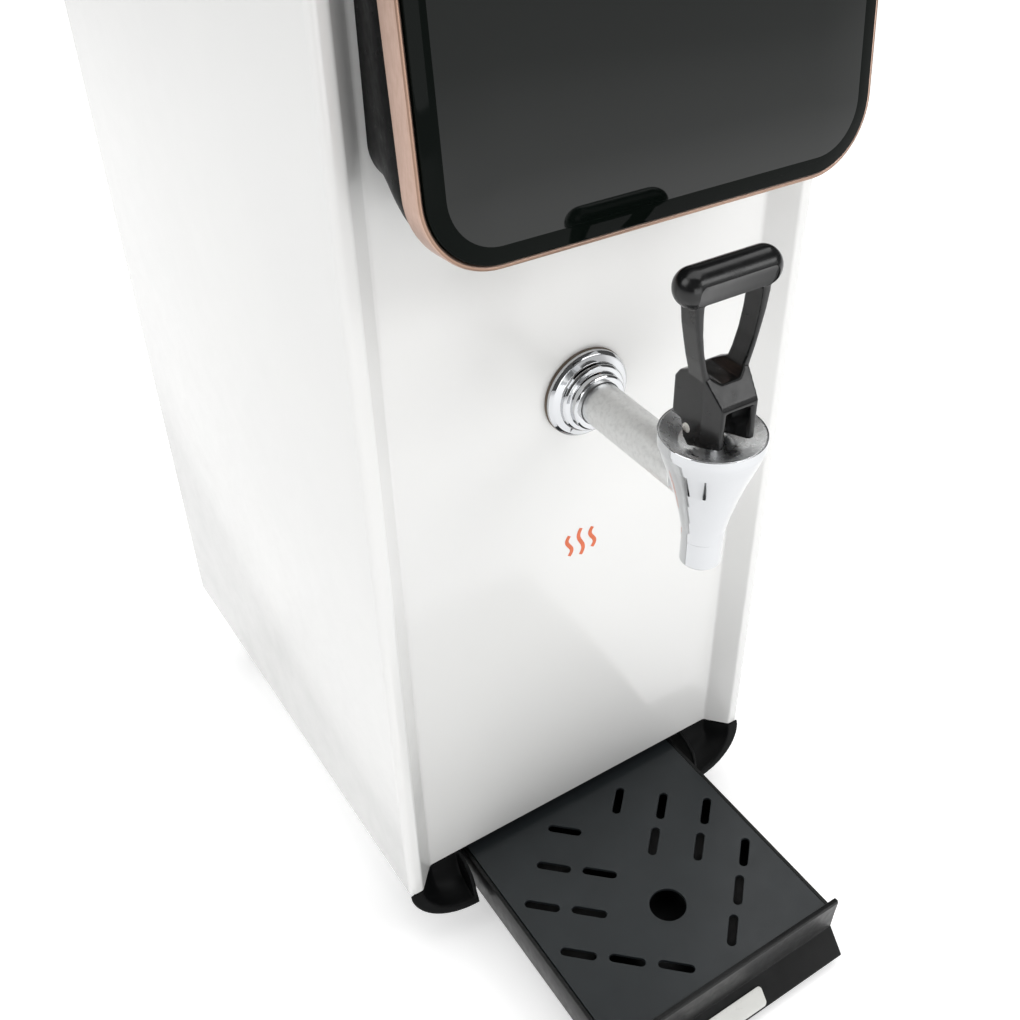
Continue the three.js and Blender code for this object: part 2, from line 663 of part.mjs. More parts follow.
// A slot whose long axis leans 45 degrees, mirrored from side to side.
function grilleSlot(x, y, side) {
  const r = SLOT_W / 2;
  const reach = SLOT_L / 2 - r;
  const lean = side > 0 ? Math.PI / 4 : (3 * Math.PI) / 4;
  const path = new THREE.Path();
  for (let i = 0; i < 10; i++) {
    const a = lean + (i < 5 ? i / 4 - 0.5 : (i - 5) / 4 + 0.5) * Math.PI;
    const end = i < 5 ? 1 : -1;
    const [cx, cy] = [x + end * reach * Math.cos(lean), y + end * reach * Math.sin(lean)];
    path[i ? "lineTo" : "moveTo"](cx + r * Math.cos(a), cy + r * Math.sin(a));
  }
  path.closePath();
  return path;
}

const SLOT_PITCH_X = 19.5;
const SLOT_PITCH_Y = 17.75;
const SLOT_FIRST_Y = -5.8;

function grille() {
  const half = TRAY_HALF - TRAY_WALL - GAP;
  const [front, back] = [TRAY_FRONT + TRAY_WALL + GAP, TRAY_BACK - TRAY_WALL - GAP];
  const plan = outline([[-half, front], [half, front], [half, back], [-half, back]]);
  // chevrons: row n holds the slots whose column and step add up to 2n - 1
  for (let n = 1; n <= 4; n++)
    for (let column = 1; column <= Math.min(n, 3); column++) {
      if (n === 3 && column === 1) continue; // the drain hole is there
      const y = SLOT_FIRST_Y - SLOT_PITCH_Y * (2 * n - 1 - column);
      for (const side of [-1, 1]) plan.holes.push(grilleSlot(side * SLOT_PITCH_X * column, y, side));
    }
  const drain = new THREE.Path();
  drain.absarc(0, DRAIN_Y, DRAIN_R, 0, 2 * Math.PI);
  plan.holes.push(drain);
  return raised(plan, GRILLE_TOP - GRILLE_T, GRILLE_TOP);
}

// A blank label on the slanted lower face of the tray's front, a little below its middle.
function trayLabel() {
  const [dy, dz] = [CHIN[0] - NOTCH[0], CHIN[1] - NOTCH[1]];
  const along = 0.61;
  const plan = outline(roundedRect(22.4, 5.9, 2.5, 0, 0, 3));
  const plate = raised(plan, GAP, GAP + 0.5).rotateX(Math.atan2(-dz, -dy));
  return plate.translate(0, NOTCH[0] + along * dy, NOTCH[1] + along * dz);
}

add(cabinet, "drip_tray", dripTray(), darkPlastic);
add(cabinet, "tray_grille", grille(), grilleGrey);
add(cabinet, "tray_label", trayLabel(), labelWhite);

// ---------------------------------------------------------------- tank and heating
const TANK_Y = (TANK.y0 + TANK.y1) / 2;
const TANK_HALF_Y = (TANK.y1 - TANK.y0) / 2;
const HEATER = { x: 0, z: 262, spread: 14, r: 4, reach: 90 };
const PROBE = { x: 45, z: 300 };
const FILL = { x: 50, y: 210 };
const EMPTY = { x: 0, y: 215 };

const tankPlan = (grow) =>
  outline(roundedRect(TANK.halfX + grow, TANK_HALF_Y + grow, TANK.r + grow, 0, TANK_Y, 4));

// The tank's side wall, open at both ends, with its rim, outlet and rear flange holes.
function tankWall() {
  const { z0, z1, wall, y0, y1 } = TANK;
  const outlet = alongY(rod(8.8, y0 - 14, y0 + 3)).translate(0, 0, SHANK_Z);
  return cut(
    join(raised(tankPlan(0), z0, z1), outlet, raised(tankPlan(7), z1 - 1.5, z1)),
    raised(tankPlan(-wall), z0 - 1, z1 + 1),
    alongY(rod(6.5, y0 - 16, y0 + 4)).translate(0, 0, SHANK_Z),
    alongY(rod(20, y1 - 4, y1 + 4)).translate(HEATER.x, 0, HEATER.z),
    alongY(rod(3.6, y1 - 4, y1 + 4, 12)).translate(PROBE.x, 0, PROBE.z),
  );
}

// The tank's floor, welded inside the wall, with the filling and draining stubs.
function tankBottom() {
  const { z0, wall } = TANK;
  const stub = (r, x, y) => rod(r, z0 - 12, z0 + 1, 16).translate(x, y, 0);
  const bore = (r, x, y) => rod(r, z0 - 14, z0 + 3, 14).translate(x, y, 0);
  return cut(
    join(raised(tankPlan(-wall - 0.1), z0, z0 + wall), ...[FILL, EMPTY].map(({ x, y }) => stub(6, x, y))),
    ...[FILL, EMPTY].map(({ x, y }) => bore(4.5, x, y)),
  );
}

function insulation() {
  const [low, high] = [TANK.z0 + 4, TANK.z1 - 1.5 - GAP];
  const jacket = cut(
    raised(tankPlan(GAP + JACKET), low, high),
    raised(tankPlan(GAP), low - 1, high + 1),
  );
  return cut(
    jacket,
    alongY(rod(12, TANK.y0 - 16, TANK.y0 + 4)).translate(0, 0, SHANK_Z),
    alongY(rod(30, TANK.y1 - 4, TANK.y1 + 20)).translate(HEATER.x, 0, HEATER.z),
    alongY(rod(7, TANK.y1 - 4, TANK.y1 + 20, 16)).translate(PROBE.x, 0, PROBE.z),
    block(TANK.halfX - 4, TANK.halfX + 20, TANK_Y - 16, TANK_Y + 16, 410, 442),
  );
}

const LID_LOW = TANK.z1 + 2.3 + GAP;
const LEVEL_RODS = [["high", -30, 120, 470], ["low", 30, 120, 330]];

function lidGasket() {
  const low = TANK.z1 + GAP;
  return cut(raised(tankPlan(6), low, low + 2), raised(tankPlan(-1), low - 1, low + 3));
}

function tankLid() {
  let lid = asSolid(raised(tankPlan(7), LID_LOW, LID_LOW + 2));
  const hole = (r, x, y) => rod(r, LID_LOW - 2, LID_LOW + 5, 12).translate(x, y, 0);
  for (const [, x, y] of LEVEL_RODS) lid = cut(lid, hole(5.6, x, y));
  return cut(lid, hole(6.6, OVERFLOW.x, 225));
}

function levelProbe(x, y, foot) {
  const body = turned([[2, foot], [2, LID_LOW - 3], [5, LID_LOW - 3], [5, LID_LOW + 2.4],
    [8, LID_LOW + 2.4], [8, LID_LOW + 8], [2.2, LID_LOW + 8], [2.2, LID_LOW + 16]], 12);
  return body.translate(x, y, 0);
}

function heatingElement() {
  const { x, z, spread, r, reach } = HEATER;
  const face = TANK.y1 + 2;
  const back = face - reach;
  const loop = swept([[x - spread, face + 2, z], [x - spread, face - 20, z],
    [x - spread, back + 20, z], [x - spread * 0.7, back + 5, z], [x, back, z],
    [x + spread * 0.7, back + 5, z], [x + spread, back + 20, z], [x + spread, face - 20, z],
    [x + spread, face + 2, z]], r, 28, 6);
  const flange = alongY(rod(27, face + GAP, face + 4, 20)).translate(x, 0, z);
  const posts = [-1, 1].map((side) =>
    alongY(rod(2.5, face + 3, face + 16, 10)).translate(x + side * spread, 0, z));
  return join(flange, loop, ...posts);
}

const heaterGasket = () =>
  alongY(tube(27, 21, TANK.y1 + GAP, TANK.y1 + 2, 20)).translate(HEATER.x, 0, HEATER.z);

function temperatureProbe() {
  const y = TANK.y1;
  const profile = [[3.2, y - 45], [3.2, y + GAP], [6, y + GAP], [6, y + 8], [2, y + 8], [2, y + 18]];
  return alongY(turned(profile, 14)).translate(PROBE.x, 0, PROBE.z);
}

const outletSleeve = () =>
  alongY(tube(11.6, 9.2, RECESS + 26, TANK.y0 - 2, 20)).translate(0, 0, SHANK_Z);

const SHELF_Z = TANK.z0 - 4;

// A bridge between the sides that carries the tank.
function tankShelf() {
  const [x, z] = [HALF - SHEET - 0.5, SHELF_Z];
  const profile = folded([[-x, z - 25], [-x, z], [x, z], [x, z - 25]], -SHEET - 0.6);
  const settings = { depth: 190, bevelEnabled: false };
  const sheet = new THREE.ExtrudeGeometry(profile, settings).rotateX(Math.PI / 2).translate(0, 252, 0);
  const rails = [-1, 1].map((side) =>
    block(side * 60 - 8, side * 60 + 8, TANK.y0 + 10, TANK.y1 - 10, z - 0.5, TANK.z0 - GAP));
  const holes = [FILL, EMPTY].map(({ x: px, y }) => rod(11, z - 5, z + 5, 16).translate(px, y, 0));
  return cut(join(sheet, ...rails), ...holes);
}

add(cabinet, "tank_wall", tankWall(), satinSteel);
add(cabinet, "tank_bottom", tankBottom(), satinSteel);
add(cabinet, "tank_lid", tankLid(), satinSteel);
add(cabinet, "lid_gasket", lidGasket(), silicone);
add(cabinet, "tank_insulation", insulation(), foam);
add(cabinet, "tank_shelf", tankShelf(), satinSteel);
for (const [name, x, y, foot] of LEVEL_RODS)
  add(cabinet, `level_probe_${name}`, levelProbe(x, y, foot), satinSteel);
add(cabinet, "heating_element", heatingElement(), satinSteel);
add(cabinet, "heater_gasket", heaterGasket(), silicone);
add(cabinet, "temperature_probe", temperatureProbe(), satinSteel);
add(cabinet, "outlet_sleeve", outletSleeve(), silicone);

// ---------------------------------------------------------------- plumbing
function inletValve() {
  const { x, z } = INLET;
  const line = alongY(turned([[10.2, 330], [10.2, REAR_REACH], [6.5, REAR_REACH]], 20));
  const stub = alongY(rod(10.2, 290, REAR_REACH, 20));
  const collar = alongY(rod(15, DEPTH + GAP, DEPTH + 5, 6));
  const body = block(-13, 13, 252, 291, -13, 13);
  const coil = rod(14, 12, 44, 16).translate(0, 272, 0);
  const outlet = rod(5.2, 10, 24, 14).translate(-10, 246, -12);
  const spigot = block(-14, -6, 246, 256, -4, 4);
  const whole = join(line, stub, collar, body, coil, spigot, outlet);
  return moved(cut(whole, alongY(rod(6.5, 300, REAR_REACH + 2, 18))), x, 0, z);
}

function fillHose() {
  const [x, y] = [FILL.x, FILL.y];
  const low = INLET.z + 12.6;
  const path = [[x, 246, low], [x, 246, low + 30], [x, 240, 130], [x, 222, 175], [x, y, 205],
    [x, y, TANK.z0 - 12.4]];
  return swept(path, 6, 20);
}

function overflowPipe() {
  const { x, y } = OVERFLOW;
  return join(
    swept([[x, 225, LID_LOW - 1], [x, 225, 522], [x, 235, 533], [x, 250, 536], [x, 268, 532],
      [x, y, 518], [x, y, 480], [x, y, 300], [x, y, 100], [x, y, -6]], 4.5, 28, 7),
    rod(7.5, LID_LOW + 2.3, LID_LOW + 7, 6).translate(x, 225, 0),
  );
}

function drainPipe() {
  const { x, z } = DRAIN;
  const elbow = swept([[x, EMPTY.y, TANK.z0 - 12.4], [x, EMPTY.y, 200], [x, EMPTY.y, 90],
    [x, EMPTY.y + 6, 58], [x, EMPTY.y + 20, z + 3], [x, EMPTY.y + 38, z], [x, 300, z]], 6, 22);
  const spout = alongY(turned([[8, 292], [8, DEPTH + 9], [4, DEPTH + 9]], 20)).translate(x, 0, z);
  const nut = alongY(rod(14, DEPTH + GAP, DEPTH + 4, 6)).translate(x, 0, z);
  return join(elbow, spout, nut);
}

const CAP_START = DEPTH + 4.6;

const drainSeal = () =>
  alongY(tube(9.2, 3, DEPTH + 9 + GAP, DEPTH + 11, 20)).translate(DRAIN.x, 0, DRAIN.z);

function drainCap() {
  const { x, z } = DRAIN;
  let cap = cut(
    alongY(rod(12.5, CAP_START, DEPTH + 14, 20)),
    alongY(rod(8.4, CAP_START - 1, DEPTH + 9.1, 20)),
    alongY(rod(9.6, DEPTH + 9, DEPTH + 11.4, 20)),
  );
  cap = join(cap, block(-11, 11, DEPTH + 13.8, DEPTH + 20, -2, 2));
  return moved(cap, x, 0, z);
}

add(cabinet, "inlet_valve", inletValve(), brass);
add(cabinet, "fill_hose", fillHose(), silicone);
add(cabinet, "overflow_pipe", overflowPipe(), silicone);
add(cabinet, "drain_pipe", drainPipe(), satinSteel);
add(cabinet, "drain_seal", drainSeal(), rubber);
add(cabinet, "drain_cap", drainCap(), darkPlastic);

// ---------------------------------------------------------------- electrics
function controlBoard() {
  const board = block(-110.4, -108.8, 110, 250, 60, 170);
  return join(board, block(-108.9, -92, 125, 155, 70, 100), block(-108.9, -98, 170, 230, 120, 150),
    block(-108.9, -100, 175, 190, 75, 90), block(-108.9, -100, 205, 220, 75, 90));
}

function powerRelay() {
  const base = block(40, 100, 100, 160, 1.5, 6);
  const fins = Array.from({ length: 6 }, (_, i) =>
    block(42 + i * 11, 45 + i * 11, 100, 160, 5, 26));
  return join(base, ...fins, block(50, 95, 112, 148, 25, 48));
}

function thermalCutout() {
  const x = TANK.halfX;
  const tabs = [-5, 5].map((z) => block(x + 6, x + 12, -4, 4, z - 2, z + 2));
  return moved(join(alongX(rod(11, x + GAP, x + 7, 20)), ...tabs), 0, TANK_Y, 426);
}

function terminalBlock() {
  let strip = asSolid(block(-60, -20, 255, 275, 1.5, 20));
  for (let i = 0; i < 3; i++)
    strip = cut(strip, rod(3.5, 12, 22, 10).translate(-52 + i * 12, 265, 0));
  return strip;
}

function switchHousing() {
  const { x, z, halfX, halfZ } = SWITCH;
  const frame = block(-halfX - 2, halfX + 2, DEPTH + GAP, DEPTH + 2.3, -halfZ - 2, halfZ + 2);
  const case_ = block(-halfX + GAP, halfX - GAP, DEPTH - 22, DEPTH + 1, -halfZ + GAP, halfZ - GAP);
  const well = block(-halfX + 2, halfX - 2, DEPTH - 12, DEPTH + 4, -halfZ + 2, halfZ - 2);
  return moved(cut(join(frame, case_), well), x, 0, z);
}

const ROCKER_Y = DEPTH + 1; // the rocker's axis
const ROCKER_TILT = 25; // degrees between off and on

// Side view of the rocker: its lower half stands proud when it is off, its upper half when on.
function powerRocker() {
  const { x, z, halfX } = SWITCH;
  const tip = new THREE.Vector2(4.6, 6.6);
  const tilt = THREE.MathUtils.degToRad(ROCKER_TILT);
  const upper = tip.clone().rotateAround(new THREE.Vector2(), tilt);
  const valley = new THREE.Vector2(2.4, 0).rotateAround(new THREE.Vector2(), tilt / 2);
  const back = [[-2, 7], [-4.5, 2.5], [-4.5, -2.5], [0, -7]];
  const view = [[tip.x, -tip.y], [valley.x, valley.y], [upper.x, upper.y], ...back];
  return sideways(view, -halfX + 2.4, halfX - 2.4).translate(x, ROCKER_Y, z);
}

function cordGland() {
  const { x, z, holeR } = GLAND;
  const profile = [[holeR - GAP, DEPTH - 14], [holeR - GAP, DEPTH + GAP], [11, DEPTH + GAP],
    [11, DEPTH + 6], [9, DEPTH + 7], [8.4, DEPTH + 15], [7, DEPTH + 18]];
  const body = alongY(turned(profile, 16));
  return moved(cut(body, alongY(rod(4.4, DEPTH - 20, DEPTH + 20, 12))), x, 0, z);
}

add(cabinet, "control_board", controlBoard(), circuitGreen);
add(cabinet, "power_relay", powerRelay(), satinSteel);
add(cabinet, "thermal_cutout", thermalCutout(), satinSteel);
add(cabinet, "terminal_block", terminalBlock(), darkPlastic);
add(cabinet, "switch_housing", switchHousing(), darkPlastic);
add(cabinet, "power_rocker", powerRocker(), glossBlack);
add(cabinet, "cord_gland", cordGland(), darkPlastic);

// ---------------------------------------------------------------- whole machine
const machine = new THREE.Group();
cabinet.position.set(0, (FLANGE_REACH - REAR_REACH) / 2, FOOT_H);
machine.add(cabinet);

export default machine;
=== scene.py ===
"""Looks of a countertop hot-water dispenser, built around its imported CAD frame.

Lengths are in millimetres in the cabinet frame (x = 0 on the centre line, y = 0 at the flat front
edges of the sides, z = 0 at the sheet's lower edge) until a mesh is made; Blender is in metres.
"""
import json
from math import atan2, copysign, cos, degrees, pi, radians, sin, sqrt, tan

import bmesh
import bpy
import numpy as np
from mathutils import Matrix, Vector
from mathutils.geometry import tessellate_polygon


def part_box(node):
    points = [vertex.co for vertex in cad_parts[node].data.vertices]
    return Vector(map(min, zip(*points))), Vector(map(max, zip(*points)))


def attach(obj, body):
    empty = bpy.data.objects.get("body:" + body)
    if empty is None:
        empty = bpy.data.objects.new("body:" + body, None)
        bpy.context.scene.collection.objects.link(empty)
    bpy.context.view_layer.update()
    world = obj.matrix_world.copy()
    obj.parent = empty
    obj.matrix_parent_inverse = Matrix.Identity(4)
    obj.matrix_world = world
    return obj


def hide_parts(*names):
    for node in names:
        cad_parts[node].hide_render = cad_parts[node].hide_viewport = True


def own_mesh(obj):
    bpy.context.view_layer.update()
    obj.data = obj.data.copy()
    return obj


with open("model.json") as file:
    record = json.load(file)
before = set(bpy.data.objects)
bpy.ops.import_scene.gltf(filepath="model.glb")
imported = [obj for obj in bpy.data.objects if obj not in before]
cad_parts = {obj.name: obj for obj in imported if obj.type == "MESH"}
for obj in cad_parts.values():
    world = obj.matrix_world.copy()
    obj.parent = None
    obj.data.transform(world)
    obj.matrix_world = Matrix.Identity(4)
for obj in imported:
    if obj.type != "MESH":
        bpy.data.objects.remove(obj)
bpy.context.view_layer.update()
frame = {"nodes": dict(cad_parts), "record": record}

MM = 0.001
ORIGIN = Vector((0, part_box("body_wrap")[0].y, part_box("body_wrap")[0].z))


def mm(node):
    """A CAD node's lowest and highest corners, in millimetres in the cabinet frame."""
    return [(corner - ORIGIN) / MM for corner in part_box(node)]


# ---------- driving dimensions
WRAP_HIGH = mm("body_wrap")[1]
HALF = WRAP_HIGH.x
WRAP_TOP = WRAP_HIGH.z
WRAP_BACK = WRAP_HIGH.y
LID_LOW, LID_HIGH = mm("top_cover")
REAR_LOW, REAR_HIGH = mm("back_panel")
SHEET = 1.2
STRIP = 7.5
RETURN = 11
RECESS = 12.2
GAP = 0.3

TAP_LOW, TAP_HIGH = mm("faucet_body")
TAP_Y = (TAP_LOW.y + TAP_HIGH.y) / 2
RIM_Z = TAP_HIGH.z
SPOUT_SHORTER = 2.9  # than its CAD solid
TIP_Z = TAP_LOW.z + SPOUT_SHORTER
SHANK_LOW, SHANK_HIGH = mm("faucet_shank")
SHANK_Z = (SHANK_LOW.z + SHANK_HIGH.z) / 2
SHANK_R = SHANK_HIGH.x
ON_TAP = (0, TAP_Y, 0)
ON_SHANK = (0, 0, SHANK_Z)
PIN_LOW, PIN_HIGH = mm("handle_pin")
PIN = (PIN_LOW + PIN_HIGH) / 2

# Places (x, z) on the rear panel, and the legs' x and y.
INLET, CORD, DRAIN, SWITCH = (60, 62), (-70, 45), (0, 40), (-70, 96)
VENTS = [(side * 48, 380 + 14 * row) for row in range(9) for side in (-1, 1)]
LEG_X, LEG_ROWS = 92, {"front": 46, "rear": 268}


# ---------- outlines
def arc_points(centre, radius, start, end, steps):
    angles = np.linspace(radians(start), radians(end), steps + 1)
    return [(centre[0] + radius * cos(a), centre[1] + radius * sin(a)) for a in angles]


def filleted(points, radii, steps, closed=False):
    """A polyline with its corners turned into arcs; radii is one number or one for each point."""
    count = len(points)
    if not hasattr(radii, "__len__"):
        radii = [radii] * count
    made = []
    for i, point in enumerate(points):
        here = Vector(point)
        at_end = not closed and i in (0, count - 1)
        if at_end or radii[i] <= 0:
            made.append(tuple(here))
            continue
        to_last = Vector(points[i - 1]) - here
        to_next = Vector(points[(i + 1) % count]) - here
        turn = to_last.angle(to_next)
        if turn > pi - 0.02:
            made.append(tuple(here))
            continue
        cut = radii[i] / tan(turn / 2)
        cut = min(cut, 0.49 * to_last.length, 0.49 * to_next.length)
        start = here + to_last.normalized() * cut
        end = here + to_next.normalized() * cut
        radius = cut * tan(turn / 2)
        centre = here + (to_last.normalized() + to_next.normalized()).normalized() * (
            radius / sin(turn / 2))
        spread = (start - centre).angle_signed(end - centre)
        for k in range(steps + 1):
            arm = (start - centre).copy()
            arm.rotate(Matrix.Rotation(-spread * k / steps, 2))
            made.append(tuple(centre + arm))
    return made


def rounded_rect(half_x, half_y, radius, centre=(0, 0), steps=10):
    cx, cy = centre
    corners = [(cx + half_x, cy + half_y), (cx - half_x, cy + half_y),
               (cx - half_x, cy - half_y), (cx + half_x, cy - half_y)]
    points = []
    for quarter, (x, y) in enumerate(corners):
        sx, sy = copysign(1, x - cx), copysign(1, y - cy)
        middle = (x - sx * radius, y - sy * radius)
        points += arc_points(middle, radius, 90 * quarter, 90 * quarter + 90, steps)
    return points


def circle(radius, centre, steps):
    return arc_points(centre, radius, 0, 360 * (1 - 1 / steps), steps - 1)


def beside(points, distance, closed=True):
    """A polyline moved to its left by a distance."""
    p = np.array(points, float)
    ahead = np.roll(p, -1, 0) - p
    ahead /= np.maximum(np.linalg.norm(ahead, axis=1, keepdims=True), 1e-9)
    behind = np.roll(ahead, 1, 0)
    if not closed:
        ahead[-1] = ahead[-2]
        behind[0] = ahead[0]
    normal_a = np.stack([-ahead[:, 1], ahead[:, 0]], 1)
    normal_b = np.stack([-behind[:, 1], behind[:, 0]], 1)
    scale = distance / (1 + (normal_a * normal_b).sum(1, keepdims=True))
    return [tuple(q) for q in p + (normal_a + normal_b) * scale]


# ---------- meshes
def placed(name, data):
    obj = bpy.data.objects.new(name, data)
    bpy.context.scene.collection.objects.link(obj)
    return obj


def mesh_object(name, points, faces, axes="xyz"):
    """An object from points in mm; axes says which coordinates the given x, y, z are."""
    co = np.zeros((len(points), 3))
    co[:, ["xyz".index(axis) for axis in axes]] = points
    co = co * MM + np.array(ORIGIN)
    mesh = bpy.data.meshes.new(name)
    mesh.from_pydata(co.tolist(), [], faces)
    mesh.validate()
    return face_out(placed(name, mesh))


def face_out(obj):
    work = bmesh.new()
    work.from_mesh(obj.data)
    bmesh.ops.remove_doubles(work, verts=work.verts, dist=1e-7)
    bmesh.ops.recalc_face_normals(work, faces=work.faces)
    if work.calc_volume(signed=True) < 0:
        bmesh.ops.reverse_faces(work, faces=work.faces)
    work.to_mesh(obj.data)
    work.free()
    return obj


def smooth(obj, angle):
    obj.data.polygons.foreach_set("use_smooth", [True] * len(obj.data.polygons))
    obj.data.set_sharp_from_angle(angle=radians(angle))
    return obj


def lofted(name, rings, closed=False):
    """Rings of equally many points joined in order: capped at both ends, or closed into a loop."""
    count = len(rings[0])
    faces = []
    last = len(rings) if closed else len(rings) - 1
    for k in range(last):
        a, b = k * count, ((k + 1) % len(rings)) * count
        for i in range(count):
            j = (i + 1) % count
            faces.append((a + i, a + j, b + j, b + i))
    if not closed:
        faces.append(tuple(range(count))[::-1])
        faces.append(tuple(range((len(rings) - 1) * count, len(rings) * count)))
    return mesh_object(name, [p for ring in rings for p in ring], faces)


def turned(name, profile, axis, centre, steps, closed=False):
    """A profile of (radius, height) points turned round an axis through centre."""
    points = []
    for k in range(steps):
        a = 2 * pi * k / steps
        points += [(r * cos(a), r * sin(a), h) for r, h in profile]
    count = len(profile)
    faces = []
    for k in range(steps):
        a, b = k * count, ((k + 1) % steps) * count
        for i in range(count if closed else count - 1):
            j = (i + 1) % count
            faces.append((a + i, b + i, b + j, a + j))
    if not closed:
        faces.append(tuple(k * count for k in range(steps)))
        faces.append(tuple(k * count + count - 1 for k in range(steps))[::-1])
    axes = {"z": "xyz", "y": "xzy", "x": "yzx"}[axis]
    obj = mesh_object(name, points, faces, axes)
    return moved(obj, *centre)


def spun(name, section, radii, steps, axis, centre, count):
    """A closed section with softened corners, turned round an axis through centre."""
    soft = filleted(section, radii, steps, closed=True)
    return turned(name, soft, axis, centre, count, closed=True)


def moved(obj, x, y, z):
    obj.data.transform(Matrix.Translation(Vector((x, y, z)) * MM))
    return obj


def rotated(obj, angle, axis, about):
    pivot = Vector(about) * MM + ORIGIN
    turn = Matrix.Rotation(radians(angle), 4, axis)
    obj.data.transform(Matrix.Translation(pivot) @ turn @ Matrix.Translation(-pivot))
    return obj


def plate(name, outline, z0, z1, holes, edge, steps, axes="xyz"):
    """A flat plate with holes, all its edges rounded."""
    levels = []
    for k in range(steps + 1):
        a = k / steps * pi / 2
        levels.append((edge * (1 - sin(a)), z0 + edge * (1 - cos(a))))
    levels += [(inset, z0 + z1 - z) for inset, z in reversed(levels)]
    loops = [(outline, 1)] + [(hole, -1) for hole in holes]
    points, faces, caps = [], [], ([], [])
    for loop, sign in loops:
        area = sum(a[0] * b[1] - a[1] * b[0] for a, b in zip(loop, list(loop[1:]) + [loop[0]]))
        inward = sign if area > 0 else -sign
        first = len(points)
        count = len(loop)
        for inset, z in levels:
            points += [(x, y, z) for x, y in beside(loop, inset * inward)]
        for k in range(len(levels) - 1):
            a, b = first + k * count, first + (k + 1) * count
            for i in range(count):
                j = (i + 1) % count
                faces.append((a + i, a + j, b + j, b + i))
        caps[0].append(range(first, first + count))
        caps[1].append(range(first + (len(levels) - 1) * count, first + len(levels) * count))
    for cap in caps:
        index = [i for loop in cap for i in loop]
        flat = [[Vector((*points[i][:2], 0)) for i in loop] for loop in cap]
        faces += [tuple(index[i] for i in face) for face in tessellate_polygon(flat)]
    return mesh_object(name, points, faces, axes)


def bar(name, outline, low, high, axis, edge, steps):
    """An outline drawn across an axis, extruded along it with rounded end edges."""
    axes = {"x": "yzx", "y": "xzy", "z": "xyz"}[axis]
    return plate(name, outline, low, high, (), edge, steps, axes)


def block(name, x0, x1, y0, y1, z0, z1, edge, steps=3):
    corners = [(x0, y0), (x1, y0), (x1, y1), (x0, y1)]
    outline = filleted(corners, edge, steps, closed=True)
    return plate(name, outline, z0, z1, (), edge, steps)


def applied(obj):
    graph = bpy.context.evaluated_depsgraph_get()
    mesh = bpy.data.meshes.new_from_object(obj.evaluated_get(graph))
    obj.modifiers.clear()
    obj.data = mesh
    return obj


def boolean(obj, operation, *others):
    for other in others:
        step = obj.modifiers.new(operation, "BOOLEAN")
        step.operation = operation
        step.solver = "EXACT"
        step.object = other
        bpy.context.view_layer.update()
        applied(obj)
        bpy.data.objects.remove(other)
    return obj


def cut(obj, *others):
    return boolean(obj, "DIFFERENCE", *others)


def joined(obj, *others):
    return boolean(obj, "UNION", *others)


def moulded(obj, voxel, rounds):
    """Turns joined solids into one moulded body with soft fillets."""
    step = obj.modifiers.new("remesh", "REMESH")
    step.mode = "VOXEL"
    step.voxel_size = voxel * MM
    soften = obj.modifiers.new("smooth", "SMOOTH")
    soften.factor = 0.5
    soften.iterations = rounds
    bpy.context.view_layer.update()
    return applied(obj)


def together(name, objects):
    """Several separate solids as one object."""
    work = bmesh.new()
    for obj in objects:
        work.from_mesh(obj.data)
    mesh = bpy.data.meshes.new(name)
    work.to_mesh(mesh)
    work.free()
    for obj in objects:
        bpy.data.objects.remove(obj)
    return placed(name, mesh)


def piece(obj, body, material, slot, *nodes, angle=35):
    """Finishes a piece: its material, its body and the CAD nodes it stands for. The slot is not
    used.
    """
    smooth(obj, angle)
    obj.data.materials.clear()
    obj.data.materials.append(material)
    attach(obj, body)
    if nodes:
        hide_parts(*nodes)
    return obj


def second_finish(obj, material, chosen):
    """Gives the faces that a test picks out a second material."""
    obj.data.materials.append(material)
    for face in obj.data.polygons:
        face.material_index = int(chosen(face))


